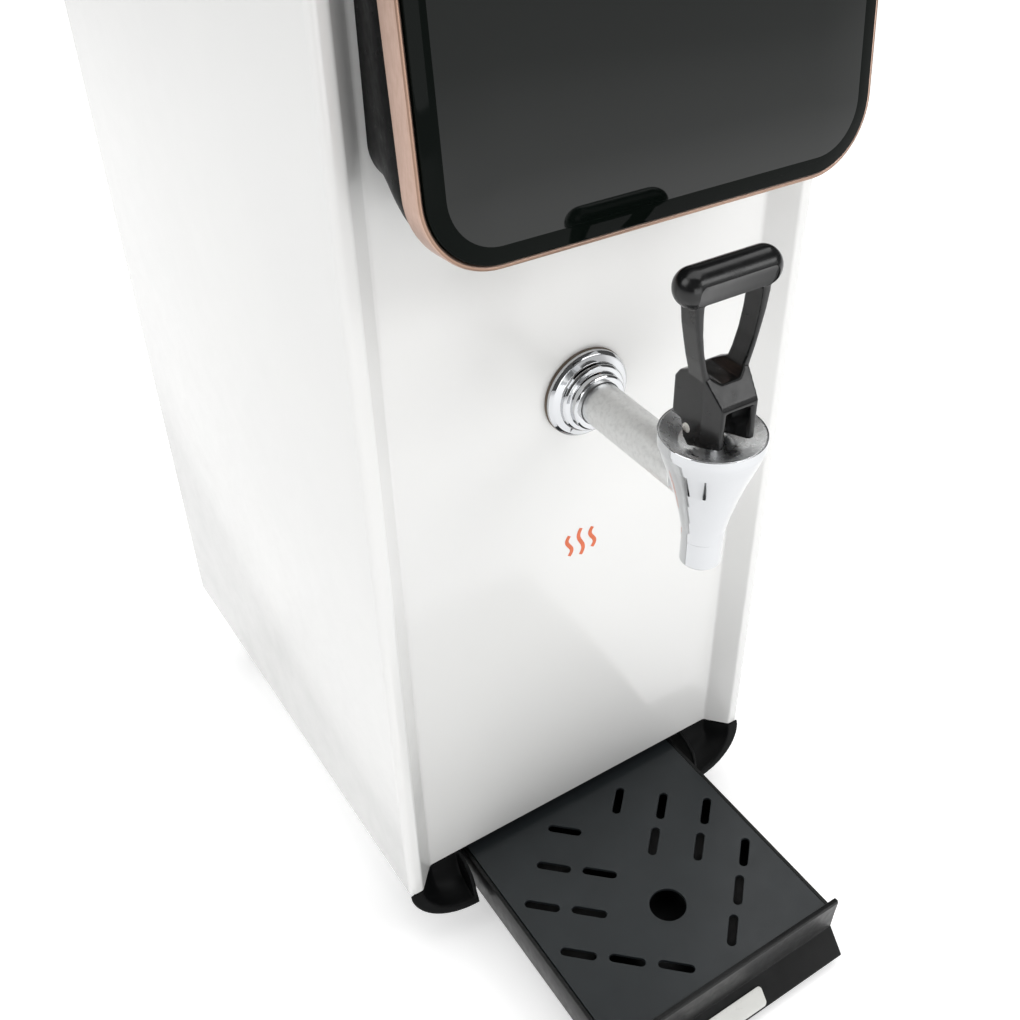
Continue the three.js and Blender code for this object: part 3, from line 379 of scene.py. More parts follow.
# ---------- materials
class Finish:
    """A Principled material whose detail comes from object-space noise."""

    def __init__(self, name, color, roughness, metallic=0.0, **sockets):
        self.material = bpy.data.materials.new(name)
        self.material.use_nodes = True
        self.material.diffuse_color = (*color, 1)
        self.nodes = self.material.node_tree.nodes
        self.link = self.material.node_tree.links.new
        self.shader = self.nodes["Principled BSDF"]
        self.shader.inputs["Base Color"].default_value = (*color, 1)
        self.shader.inputs["Roughness"].default_value = roughness
        self.shader.inputs["Metallic"].default_value = metallic
        for socket, value in sockets.items():
            self.shader.inputs[socket.replace("_", " ")].default_value = value
        self.color = color
        self.place = self.node("ShaderNodeTexCoord").outputs["Object"]

    def node(self, kind, **sockets):
        """A new node with some of its input sockets set."""
        node = self.nodes.new(kind)
        for socket, value in sockets.items():
            node.inputs[socket.replace("_", " ")].default_value = value
        return node

    def noise(self, per_metre, detail, stretch=(1, 1, 1)):
        mapping = self.node("ShaderNodeMapping", Scale=stretch)
        self.link(self.place, mapping.inputs["Vector"])
        noise = self.node("ShaderNodeTexNoise", Scale=per_metre, Detail=detail)
        self.link(mapping.outputs["Vector"], noise.inputs["Vector"])
        return noise.outputs["Fac"]

    def ranged(self, value, low, high, start=0.3, end=0.7):
        ends = {"From_Min": start, "From_Max": end, "To_Min": low, "To_Max": high}
        node = self.node("ShaderNodeMapRange", **ends)
        self.link(value, node.inputs["Value"])
        return node.outputs["Result"]

    def tint(self, grain, other, start=0.3, end=0.7):
        """Mixes the base colour towards another by noise; grain is what noise() takes."""
        mix = self.nodes.new("ShaderNodeMix")
        mix.data_type = "RGBA"
        mix.inputs["A"].default_value = (*self.color, 1)
        mix.inputs["B"].default_value = (*other, 1)
        self.link(self.ranged(self.noise(*grain), 0, 1, start, end), mix.inputs["Factor"])
        self.link(mix.outputs["Result"], self.shader.inputs["Base Color"])
        return self

    def rough(self, grain, low, high):
        self.link(self.ranged(self.noise(*grain), low, high), self.shader.inputs["Roughness"])
        return self

    def bump(self, grain, distance):
        return self.raised(self.noise(*grain), distance)

    def raised(self, value, distance):
        node = self.node("ShaderNodeBump", Distance=distance * MM, Strength=1.0)
        self.link(value, node.inputs["Height"])
        previous = self.shader.inputs["Normal"].links
        if previous:
            self.link(previous[0].from_socket, node.inputs["Normal"])
        self.link(node.outputs["Normal"], self.shader.inputs["Normal"])
        return self

    def rings(self, centre, axis, per_metre, distance):
        """Fine turning marks round an axis through a centre (cabinet millimetres)."""
        shift = self.node("ShaderNodeMapping", Location=-(Vector(centre) * MM + ORIGIN))
        self.link(self.place, shift.inputs["Vector"])
        wave = self.node("ShaderNodeTexWave", Scale=per_metre, Distortion=0.6, Detail=2)
        wave.wave_type = "RINGS"
        wave.rings_direction = axis
        self.link(shift.outputs["Vector"], wave.inputs["Vector"])
        return self.raised(wave.outputs["Fac"], distance)


def painted_white():
    f = Finish("white_enamel", (0.86, 0.86, 0.845), 0.2, Coat_Weight=0.25, Coat_Roughness=0.06)
    f.tint((7, 2), (0.84, 0.84, 0.83))
    f.rough((40, 3), 0.19, 0.25)
    return f.bump((420, 2), 0.008).bump((14, 1), 0.03).material


def moulded_black(name, color, low, high, grain, depth, ior=1.33, gloss=0.5):
    f = Finish(name, color, (low + high) / 2, IOR=ior, Specular_IOR_Level=gloss)
    f.tint((60, 4), tuple(c * 1.5 + 0.001 for c in color))
    f.rough((220, 5), low, high)
    return f.bump((grain, 4), depth).material


def gloss_panel(name, ior, gloss=0.5):
    f = Finish(name, (0.0025, 0.004, 0.0032), 0.03, IOR=ior, Specular_IOR_Level=gloss)
    f.rough((30, 3), 0.02, 0.05)
    return f.bump((12, 1), 0.03).material


def rose_gold():
    f = Finish("rose_gold", (0.50, 0.345, 0.275), 0.36, 0.85)
    f.tint((900, 3, (1, 1, 0.2)), (0.56, 0.395, 0.325))
    f.rough((500, 4), 0.3, 0.44)
    return f.bump((2600, 3), 0.01).material


def copper_edge():
    f = Finish("copper_edge", (0.33, 0.215, 0.16), 0.36, 0.9)
    f.rough((400, 3), 0.3, 0.44)
    return f.bump((2200, 2), 0.006).material


def chrome():
    f = Finish("chrome", (0.60, 0.61, 0.625), 0.05, 1.0)
    f.rough((160, 4), 0.035, 0.08)
    return f.bump((90, 1), 0.01).material


def satin_cast():
    f = Finish("satin_cast", (0.72, 0.725, 0.72), 0.36, 1.0)
    f.tint((500, 5), (0.60, 0.605, 0.60), 0.45, 0.8)
    f.rough((700, 5), 0.32, 0.42)
    return f.bump((1500, 4), 0.012).material


def turned_steel(name, centre, axis, color=(0.72, 0.73, 0.74)):
    f = Finish(name, color, 0.27, 1.0)
    f.tint((150, 4), tuple(c * 0.9 for c in color), 0.35, 0.75)
    f.rough((350, 5), 0.22, 0.36)
    return f.rings(centre, axis, 1500, 0.006).material


def brushed_steel():
    f = Finish("brushed_steel", (0.58, 0.585, 0.59), 0.34, 1.0)
    f.tint((30, 3), (0.5, 0.505, 0.51))
    f.rough((300, 4, (1, 1, 0.04)), 0.26, 0.44)
    return f.bump((1800, 3, (1, 1, 0.02)), 0.012).material


def slate_plate():
    f = Finish("slate_plate", (0.018, 0.0215, 0.0235), 0.28, IOR=1.38)
    f.tint((45, 2), (0.021, 0.025, 0.0275))
    f.rough((130, 2), 0.28, 0.34)
    return f.bump((1200, 3), 0.001).material


def blank_label():
    f = Finish("label_film", (0.76, 0.76, 0.73), 0.34)
    f.tint((70, 4), (0.71, 0.71, 0.68))
    f.rough((240, 3), 0.26, 0.42)
    return f.bump((900, 3), 0.01).material


def rubbery(name, color, depth=0.04):
    f = Finish(name, color, 0.75)
    f.tint((120, 4), tuple(c * 1.4 + 0.01 for c in color))
    f.rough((300, 4), 0.6, 0.85)
    return f.bump((1300, 4), depth).material


def silicone():
    f = Finish("silicone", (0.62, 0.60, 0.55), 0.5, Subsurface_Weight=0.15)
    f.shader.inputs["Subsurface Radius"].default_value = (0.004, 0.003, 0.002)
    f.tint((90, 3), (0.54, 0.52, 0.47))
    f.rough((260, 3), 0.42, 0.6)
    return f.bump((500, 3), 0.02).material


def brass():
    f = Finish("brass", (0.60, 0.43, 0.18), 0.3, 1.0)
    f.tint((110, 5), (0.46, 0.32, 0.13), 0.45, 0.8)
    f.rough((320, 5), 0.24, 0.42)
    return f.bump((900, 4), 0.015).material


def circuit_board():
    f = Finish("circuit_board", (0.012, 0.10, 0.045), 0.38)
    f.tint((420, 2, (1, 0.15, 1)), (0.02, 0.16, 0.07), 0.52, 0.56)
    f.rough((500, 3), 0.3, 0.5)
    return f.bump((420, 2, (1, 0.15, 1)), 0.03).material


def mineral_wool():
    f = Finish("mineral_wool", (0.52, 0.47, 0.36), 0.95)
    f.tint((300, 8), (0.70, 0.65, 0.54))
    return f.bump((700, 8, (1, 1, 0.3)), 0.9).material


def ink(name, color):
    f = Finish(name, color, 0.35)
    f.tint((200, 4), tuple(c * 0.85 for c in color))
    f.rough((400, 3), 0.3, 0.45)
    return f.bump((900, 3), 0.005).material


WHITE = painted_white()
BLACK = moulded_black("black_moulding", (0.004, 0.0042, 0.0043), 0.3, 0.42, 900, 0.012)
HANDLE_BLACK = moulded_black("black_handle", (0.005, 0.0052, 0.0055), 0.16, 0.28, 300, 0.01, 1.45)
GLOSS = gloss_panel("gloss_panel", 1.45)
GLOSS_BORDER = gloss_panel("gloss_border", 1.16, 0.35)
HOUSING_BLACK = moulded_black("black_shell", (0.002, 0.0022, 0.0024), 0.26, 0.36, 300, 0.01,
                              1.14, 0.25)
BASE_BLACK = moulded_black("black_base", (0.003, 0.0032, 0.0034), 0.38, 0.48, 900, 0.01, 1.25, 0.3)
ROSE = rose_gold()
COPPER = copper_edge()
CHROME = chrome()
CAST = satin_cast()
BRUSHED = brushed_steel()
SLATE = slate_plate()
LABEL = blank_label()
RUBBER = rubbery("black_rubber", (0.015, 0.015, 0.015))
FIBRE = rubbery("fibre_gasket", (0.13, 0.10, 0.075), 0.08)
SILICONE = silicone()
BRASS = brass()
BOARD = circuit_board()
WOOL = mineral_wool()


# ---------- camera
def make_camera():
    """The viewpoint that the cabinet's and the tray's edges give, in the cabinet frame."""
    place = Vector((-273.0, -370.2, 579.05)) * MM + ORIGIN
    azimuth, elevation, roll = [radians(a) for a in (-36.01, 38.87, 1.66)]
    back = Vector((sin(azimuth) * cos(elevation),
                   -cos(azimuth) * cos(elevation), sin(elevation)))
    right = Vector((0, 0, 1)).cross(back).normalized()
    up = back.cross(right)
    x_axis = right * cos(roll) + up * sin(roll)
    y_axis = -right * sin(roll) + up * cos(roll)
    data = bpy.data.cameras.new("camera")
    data.sensor_width = 36
    data.lens = 42.82
    data.shift_x, data.shift_y = -0.0775, 0.0181
    data.clip_start = 0.01
    camera = placed("camera", data)
    turn = Matrix((x_axis, y_axis, back)).transposed().to_4x4()
    camera.matrix_world = Matrix.Translation(place) @ turn
    bpy.context.scene.camera = camera


# ---------- cabinet
def front_line():
    """Plan of the folded sheet's outer face, from the rear left flange to the rear right one."""
    strip = HALF - STRIP
    rear_flange = HALF - 15
    left = [(-rear_flange, WRAP_BACK), (-HALF, WRAP_BACK), (-HALF, 0), (-strip, 0),
            (-strip + RETURN, RECESS)]
    right = [(-x, y) for x, y in reversed(left)]
    radii = [0, 2.5, 5, 2.4, 3.2]
    return filleted(left + right, radii + radii[::-1], 8)


def cabinet_sheet():
    """The folded front and sides, with holes for the shank and for the display's wiring."""
    outer = front_line()
    inner = beside(outer, SHEET, closed=False)
    outline = outer + inner[::-1]
    sheet = bar("cabinet_sheet", outline, 0, WRAP_TOP, "z", 0.35, 2)
    before, behind = RECESS - 4, RECESS + 5
    hole_r = SHANK_R + 0.6
    shank_hole = turned("cutter", [(hole_r, before), (hole_r, behind)], "y", ON_SHANK, 48)
    middle = sum(corner.z for corner in mm("display_glass")) / 2
    wiring = block("cutter", -35, 35, before, behind, middle - 18, middle + 18, 3)
    return cut(sheet, shank_hole, wiring)


def lid():
    """A pressed lid: rounded shoulders, a low border and a raised middle."""
    middle = (LID_LOW.y + LID_HIGH.y) / 2
    half_y = (LID_HIGH.y - LID_LOW.y) / 2
    top, foot = LID_HIGH.z, LID_LOW.z

    def ring(inset, z):
        radius = max(5.5 - inset, 1.5)
        return [(x, y, z) for x, y in
                rounded_rect(HALF - inset, half_y - inset, radius, (0, middle), 8)]

    inside = [(4.2, top - 2.7), (1.5, top - 5.5), (SHEET, foot + 0.2), (SHEET - 0.1, foot)]
    wall = [(0.25, foot), (0, foot + 0.3), (0, top - 5)]
    shoulder = [(3.6 * (1 - cos(a)), top - 5 + 3.6 * sin(a))
                for a in np.linspace(0.2, pi / 2, 8)]
    step = [(12 + 3 * t, top - 1.4 + 1.4 * (3 * t * t - 2 * t ** 3))
            for t in np.linspace(0, 1, 8)]
    rings = [ring(inset, z) for inset, z in inside + wall + shoulder + step]
    return lofted("lid", rings)


def pan_screw(x, z, y):
    """A pan-head screw with a cross recess, its head on the rear face."""
    radius = 3.4
    dome = [(1.2, y + 2.05), (2.3, y + 1.8), (3.0, y + 1.25), (radius, y + 0.4), (radius, y - 0.2)]
    head = turned("screw", filleted(dome, 0.3, 3), "y", (x, 0, z), 32)
    long, thin = 1.9, 0.42
    blades = [block("cutter", x - w, x + w, y + 0.9, y + 3, z - h, z + h, 0.1, 1)
              for w, h in ((long, thin), (thin, long))]
    return cut(head, *blades)


def rear_panel():
    (x0, y0, z0), (x1, y1, z1) = REAR_LOW, REAR_HIGH
    outline = filleted([(x0, z0), (x1, z0), (x1, z1), (x0, z1)], 2.5, 5, closed=True)
    holes = [circle(11, INLET, 40), circle(8.5, CORD, 40), circle(11, DRAIN, 40)]
    holes.append(rounded_rect(14, 10.5, 1, SWITCH, 3))
    holes += [rounded_rect(33.6, 2.2, 2, vent, 5) for vent in VENTS]
    return plate("rear_panel", outline, y0, y1, holes, 0.25, 2, "xzy")


def louvres():
    """Pressed hoods over the vent slots, open underneath."""
    hoods = []
    face = REAR_HIGH.y
    for middle, vent_z in VENTS:
        rings = []
        for t in np.linspace(-1, 1, 25):
            x = middle + 34.6 * t
            bulge = max(1 - abs(t) ** 12, 0.0) ** 0.5 * 3.2 + 0.15
            outer = [(x, face - 0.1 + bulge * sin(a), vent_z - 1 + 5 * cos(a))
                     for a in np.linspace(0.05, pi / 2 + 0.25, 10)]
            inner = [(x, max(y - 0.75, face - 0.4), z - 0.5) for _, y, z in reversed(outer)]
            rings.append(outer + inner)
        hoods.append(lofted("hood", rings))
    return together("louvres", hoods)


def rear_screws():
    edge_x, low, high = REAR_HIGH.x - 7, REAR_LOW.z + 8, REAR_HIGH.z - 8
    rows = np.linspace(low, high, 5)
    places = [(side * edge_x, z) for z in rows for side in (-1, 1)] + [(0, low), (0, high)]
    return together("rear_screws", [pan_screw(x, z, REAR_HIGH.y) for x, z in places])


# ---------- base moulding
SLOT_HALF = 79.5
SCOOP_DROP = 25.5
SCOOP_LEAN = 0.33
MOULD_WALL = 2.4


def front_at(x):
    """How far back the cabinet's front stands at a distance x from the centre line."""
    return RECESS * min(max((HALF - STRIP - x) / RETURN, 0), 1)


def scoop_section(x):
    """The bowl's (y, z) line at x, from under the panel, down the bowl, to the outer lip."""

    def drop(half, depth):
        t = (x - SLOT_HALF) / (half - SLOT_HALF)
        return -depth * sqrt(1 - t * t) if t < 1 else 0.0

    lip = drop(HALF + 0.2, SCOOP_DROP)
    inner = drop(HALF - STRIP, SCOOP_DROP - 3.5)
    top = (front_at(x), -GAP)
    line = []
    for t in np.linspace(0, 1, 26):
        y = (1 - t * t) * top[0] + t * t * SCOOP_LEAN * inner
        z = (1 - t) ** 2 * top[1] + 2 * t * (1 - t) * inner * 0.95 + t * t * inner
        line.append((y, min(z, -GAP - 0.02 * t)))
    line.append((SCOOP_LEAN * lip, min(lip, -1.5)))
    return line


def evenly(line, count):
    """A polyline cut into equal lengths."""
    p = np.array(line)
    steps = np.r_[0, np.cumsum(np.linalg.norm(np.diff(p, axis=0), axis=1))]
    at = np.linspace(0, steps[-1], count)
    return list(zip(np.interp(at, steps, p[:, 0]), np.interp(at, steps, p[:, 1])))


def scoop(side):
    """The rounded bowl under one front corner."""
    rings = []
    for a in np.linspace(0, 1.5, 40):
        x = SLOT_HALF + (HALF - SLOT_HALF - 0.1) * sin(a)
        face = evenly(scoop_section(x), 30)
        back = MOULD_WALL * 0.7
        ring = [(side * x, y, z) for y, z in face]
        ring += [(side * x, y + back, z - back) for y, z in reversed(face)]
        rings.append(ring)
    return lofted("scoop", rings)


def base_moulding():
    """A ledge behind the sheet's folds, two walls beside the tray and a scoop in each corner."""
    strip = HALF - STRIP
    inner = SHEET + GAP
    left = [(-HALF + 1.6, 30), (-HALF + 1.6, 3), (-strip - 1, inner),
            (-strip + RETURN - 1, RECESS + inner)]
    plan = left + [(-x, y) for x, y in reversed(left)]
    body = plate("base_front_moulding", plan, -2.8, -GAP, (), 0.2, 1)
    cheek = [(30, -GAP), (RECESS, -GAP), (5, -2.5), (-1.5, -7), (-4.6, -13.5), (-5.4, -18),
             (-7.6, -23), (-SCOOP_LEAN * SCOOP_DROP, -SCOOP_DROP), (30, -SCOOP_DROP)]
    cheek = filleted(cheek, [0, 1, 6, 6, 8, 4, 4, 0.6, 0], 6, closed=True)
    for side in (-1, 1):
        x = side * (SLOT_HALF + MOULD_WALL / 2)
        wall = bar("wall", cheek, x - MOULD_WALL / 2, x + MOULD_WALL / 2, "x", 0.3, 2)
        body = joined(body, scoop(side), wall)
    return moulded(body, 0.55, 5)


# ---------- feet
def leg(name, x, y):
    low, high = mm(name)
    r, foot, top = high.x - x, low.z, -GAP
    profile = [(5, foot + 8), (5, foot), (r - 1.4, foot), (r - 0.6, foot + 8), (r - 0.4, top - 12),
               (r - 1.2, top - 11.4), (r - 1.2, top - 10.4), (r, top - 9.8), (r, top),
               (4, top), (4, high.z)]
    soft = filleted(profile, [0, 0.2, 0.8, 2, 0.4, 0.3, 0.3, 0.5, 0.6, 0, 0.4], 4)
    return turned(name + "_post", soft, "z", (x, y, 0), 72)


def pad(name, x, y):
    low, high = mm(name)
    r, foot = high.x - x, low.z
    profile = [(0.01, foot), (r - 2.5, foot), (r - 2.2, foot + 0.35), (r - 1.4, foot + 0.35),
               (r - 1.1, foot), (r - 0.5, foot), (r, foot + 1), (r, foot + 3.5),
               (4.6, foot + 3.5), (4.6, high.z), (0.01, high.z)]
    soft = filleted(profile, [0, 0.1, 0.1, 0.1, 0.1, 0.3, 0.6, 0.5, 0, 0.4, 0], 3)
    return turned(name + "_rubber", soft, "z", (x, y, 0), 72)


# ---------- display pod
POD_TILT = 5.85
POD_CENTRE = Vector((0, -32, 460.5))
POD_X, POD_Z, POD_R = 102.9, 77.5, 29.5
RING_DEPTH, RING_WALL = 11.6, 2.2
BORDER, CROWN = 7, 24


def pod_ring(inset, y):
    """An outline in the pod's own frame, at a depth y behind its front edge."""
    radius = max(POD_R - inset, 1.5)
    return [(x, y, z) for x, z in rounded_rect(POD_X - inset, POD_Z - inset, radius, steps=16)]


def on_pod(obj):
    """Takes a piece from the pod's own frame to its place on the cabinet, tilted."""
    moved(obj, *POD_CENTRE)
    return rotated(obj, -POD_TILT, "X", POD_CENTRE)


def trim_ring():
    section = [(0, RING_DEPTH), (0, 1.3), (0.3, 0.5), (0.9, 0.1), (RING_WALL - 0.8, 0),
               (RING_WALL - 0.2, 0.5), (RING_WALL, 0.9), (RING_WALL, RING_DEPTH)]
    soft = filleted(section, 0.2, 2, closed=True)
    return on_pod(lofted("trim_ring", [pod_ring(inset, y) for inset, y in soft], closed=True))


def front_glass():
    """A glossy, slightly crowned face inside a border that falls away to a square edge."""
    start = RING_WALL + GAP
    rings = [pod_ring(start, 5), pod_ring(start, -0.4)]
    rings += [pod_ring(start + inset, y) for inset, y in
              arc_points((0.5, -0.4), 0.5, 180, 270, 5)]
    for t in np.linspace(0.1, 1, 9):
        rings.append(pod_ring(start + 0.5 + (BORDER - 0.5) * t, -0.9 - 1.5 * t + 0.35 * t * t))
    crown = tan(radians(4.5))
    for t in np.linspace(0.02, 1, 20):
        rings.append(pod_ring(start + BORDER + CROWN * t, -2.05 - crown * CROWN * (t - t * t / 2)))
    return on_pod(lofted("front_glass", rings))


def display_shell():
    """The pod's housing, which widens from the cabinet's front to the trim ring."""
    step = 0.6
    back = RECESS - GAP
    root = np.array((96, 398, 526, 18))
    mouth = np.array((POD_X - step, POD_CENTRE.z - POD_Z + step, POD_CENTRE.z + POD_Z - step,
                      POD_R - step))

    def ring(t, inset):
        half_x, low, high, radius = root + (mouth - root) * t * t * (3 - 2 * t)
        half_z = (high - low) / 2 - inset
        points = []
        for x, z in rounded_rect(half_x - inset, half_z, radius - inset, (0, (low + high) / 2), 14):
            rise = (z - POD_CENTRE.z) * tan(radians(POD_TILT))
            front = POD_CENTRE.y + RING_DEPTH + GAP + rise
            points.append((x, back + (front - back) * t, z))
        return points

    outer = [ring(t, 0) for t in np.linspace(0, 1, 30)]
    inner = [ring(t, 2.5) for t in np.linspace(1, 0, 12)]
    return lofted("display_shell", outer + inner, closed=True)


# ---------- tap
def shank_gasket():
    y = RECESS - GAP
    ring = [(SHANK_R + 0.6, y), (SHANK_R + 0.6, y - 1), (21.9, y - 1), (21.9, y)]
    return spun("shank_gasket", ring, 0.2, 2, "y", ON_SHANK, 96)


def rosette():
    """The stepped chrome flange round the shank."""
    y = RECESS - 1.6
    bore = SHANK_R + GAP
    steps = [(bore, y), (21.7, y), (21.7, y - 1.6), (20.2, y - 3.0), (16.9, y - 3.9),
             (16.9, y - 6.0), (16.0, y - 6.9), (13.9, y - 7.3), (13.9, y - 10.6), (12.9, y - 11.4),
             (bore, y - 11.4)]
    radii = [0.1, 0.3, 0.5, 1.4, 0.5, 0.6, 0.5, 0.5, 0.8, 0.5, 0.2]
    return spun("rosette", steps, radii, 5, "y", ON_SHANK, 128)


def shank():
    front, back = SHANK_LOW.y, SHANK_HIGH.y
    slim = SHANK_R - 0.15
    outer = [(6, front), (slim, front), (slim, front + 6), (SHANK_R, front + 60),
             (SHANK_R, back - 28), (8.8, back - 28), (8.8, back), (6, back)]
    radii = [0.2, 0.4, 0, 0, 0.3, 0.3, 0.4, 0.2]
    return spun("shank_tube", outer, radii, 3, "y", ON_SHANK, 96)


def tap_body():
    """Dish, skirt, cone and spout in one turned body, with the boss that takes the shank."""
    z = RIM_Z
    chamber_r, chamber_z = 9.8, z - 35.2
    outside = [(6, TIP_Z + 1.2), (6.6, TIP_Z), (8.2, TIP_Z), (9.0, TIP_Z + 0.8),
               (9.0, TIP_Z + 13.4), (9.3, TIP_Z + 13.7), (9.5, TIP_Z + 18.6), (11, TIP_Z + 25.6),
               (13.8, z - 29.7), (16.0, z - 22.7), (17.2, z - 19.4), (20.4, z - 10.7),
               (22.2, z - 5.2), (22.3, z - 3.6), (22.3, z - 0.2), (22.15, z), (21.95, z),
               (21.95, z - 2.8), (17.6, z - 7.1), (14.3, z - 7.1), (14.3, z - 15.7),
               (chamber_r, z - 15.7), (chamber_r, chamber_z), (6, chamber_z)]
    radii = [0.4, 0.3, 0.6, 0.5, 0.15, 0.15, 8, 12, 14, 8, 5, 5, 2, 0.8, 0.1, 0.08, 0.08, 0.2,
             0.2, 0.2, 0.2, 0.2, 0.2, 0.2]
    body = spun("tap_body", outside, radii, 6, "z", ON_TAP, 144)
    boss_r, start, end = SHANK_R + 0.05, TAP_Y + 2, TAP_Y + 12.8
    line = filleted([(0.01, start), (boss_r, start), (boss_r, end), (0.01, end)], 0.1, 2)
    boss = turned("boss", line, "y", ON_SHANK, 96)
    chamber = turned("cutter", [(chamber_r, chamber_z), (chamber_r, z - 14)], "z", ON_TAP, 64)
    socket = turned("cutter", [(boss_r, end), (boss_r, TAP_Y + 22)], "y", ON_SHANK, 96)
    bore = turned("cutter", [(6, TAP_Y + 5), (6, TAP_Y + 14)], "y", ON_SHANK, 48)
    return cut(joined(body, boss), chamber, socket, bore)


def coil_spring():
    """The valve's return spring, wound round the stem."""
    low, high = mm("valve_spring")
    wire, turns, steps = 0.65, 5, 24
    rings = []
    for k in range(turns * steps + 1):
        turn = 2 * pi * k / steps
        z = low.z + wire + (high.z - low.z - 2 * wire) * k / (turns * steps)
        ring = []
        for a in np.linspace(0, 2 * pi, 12, endpoint=False):
            r = high.x - wire + wire * cos(a)
            ring.append((r * cos(turn), TAP_Y + r * sin(turn), z + wire * sin(a)))
        rings.append(ring)
    return lofted("coil_spring", rings)


def bonnet():
    """The dished cap inside the tap's rim, with turning marks."""
    z = RIM_Z
    section = [(3.8, z - 13.2), (14, z - 13.2), (14, z - 6.8), (17.5, z - 6.8), (21.8, z - 2.6),
               (21.8, z - 0.2), (21.4, z - 0.1), (20.8, z - 0.5), (13.6, z - 4.9), (9, z - 5.7),
               (3.8, z - 5.7)]
    radii = [0.2, 0.2, 0.2, 0.2, 0.2, 0.3, 0.4, 0.8, 2.5, 1.5, 0.4]
    return spun("bonnet_dish", section, radii, 5, "z", ON_TAP, 128)


def handle():
    """One moulding: an open-fronted block, two bowed legs and a rounded bar."""
    y, z = TAP_Y, PIN.z
    cheek = [(y - 14, z - 1.8), (y - 14, z + 15.4), (y - 12.9, z + 17.2), (y - 4.6, z + 25.9),
             (y + 5.6, z + 25.9), (y + 11, z + 22.9), (y + 13.4, z + 19.4), (y + 13.4, z + 2.6),
             (y + 8, z + 2), (y + 6, z - 5), (y + 2.5, z - 8), (y - 1, z - 6.2)]
    whole = bar("handle_loop", filleted(cheek, 1.0, 4, closed=True), -10.8, 10.8, "x", 0.7, 3)
    waist = [(-10.9, y + 15), (-10.9, y - 4), (-8.6, y - 15), (8.6, y - 15), (10.9, y - 4),
             (10.9, y + 15)]
    boolean(whole, "INTERSECT", plate("waist", waist, z - 12, z + 33, (), 0.3, 1))
    window = block("cutter", -6.2, 6.2, y - 21, y + 9.8, z - 12, z + 13, 0.6)
    flare = [(-7.4, y - 14.9), (7.4, y - 14.9), (6.2, y - 12.6), (-6.2, y - 12.6)]
    funnel = plate("cutter", flare, z - 12, z + 14.1, (), 0.05, 1)
    cut(whole, window, funnel)
    outer = [(9.6, z + 20), (11.4, z + 26.4), (13.4, z + 33.4), (15.1, z + 40.9),
             (16.7, z + 48.4), (17.6, z + 55.4), (17.7, z + 61.4)]
    inner = [(13.9, z + 61.4), (13.9, z + 53.4), (13.3, z + 45.4), (12, z + 37.4),
             (9.8, z + 29.8), (7.6, z + 24.9), (4.8, z + 22.8), (0, z + 22), (0, z + 19.6)]
    for side in (-1, 1):
        shape = filleted([(side * x, h) for x, h in outer + inner], 2.4, 5, closed=True)
        joined(whole, bar("leg", shape, y - 4.6, y + 5.6, "y", 0.8, 3))
    trough = [(-9.8, z + 29.8), (-7.6, z + 25.3), (-4.6, z + 23.2), (4.6, z + 23.2),
              (7.6, z + 25.3), (9.8, z + 29.8)]
    cut(whole, bar("cutter", filleted(trough, 2, 5, closed=True), y - 16, y + 15, "y", 0.1, 1))
    bar_z = z + 63.9
    half, r = 16.3, 7.8
    profile = [(0.01, -half - r)] + [(r * cos(a), -half + r * sin(a))
                                     for a in np.linspace(-pi / 2 + 0.1, 0, 14)]
    profile += [(q, -h) for q, h in reversed(profile)]
    joined(whole, turned("grip", profile, "x", (0, y + 0.5, bar_z), 64))
    moulded(whole, 0.42, 4)
    pin_hole = turned("cutter", [(2.1, -14), (2.1, 14)], "x", (0, PIN.y, PIN.z), 32)
    return cut(whole, pin_hole, flat_under(y, bar_z, r))


def flat_under(y, z, r):
    """The slab that leaves the bar's front lower side flat."""
    outline = rounded_rect(18.6, 4.7, 3.2, (0, z), 6)
    slab = plate("cutter", outline, y - 14, y + 2 - r, (), 0.3, 2, "xzy")
    return rotated(slab, 14, "X", (0, y + 0.5, z))


def handle_pin():
    r = PIN_HIGH.z - PIN.z
    end = PIN_HIGH.x - 0.2
    head_r, neck = 2.7, end - 0.6
    profile = [(0.01, -end), (head_r, -end), (head_r, -neck), (r, -neck), (r, neck),
               (head_r, neck), (head_r, end), (0.01, end)]
    soft = filleted(profile, [0, 0.3, 0.05, 0.05, 0.05, 0.05, 0.3, 0], 4)
    return turned("loop_pin", soft, "x", (0, PIN.y, PIN.z), 48)


# ---------- drip tray
GRILLE_LOW, GRILLE_HIGH = mm("tray_grille")
TRAY_HALF = 75.5
TRAY_FRONT, TRAY_BACK = -132, 88
TRAY_RIM, TRAY_FLOOR = -7.4, -29
NOTCH = (TRAY_FRONT, -28.5)
CHIN = (-143.8, -42.3)


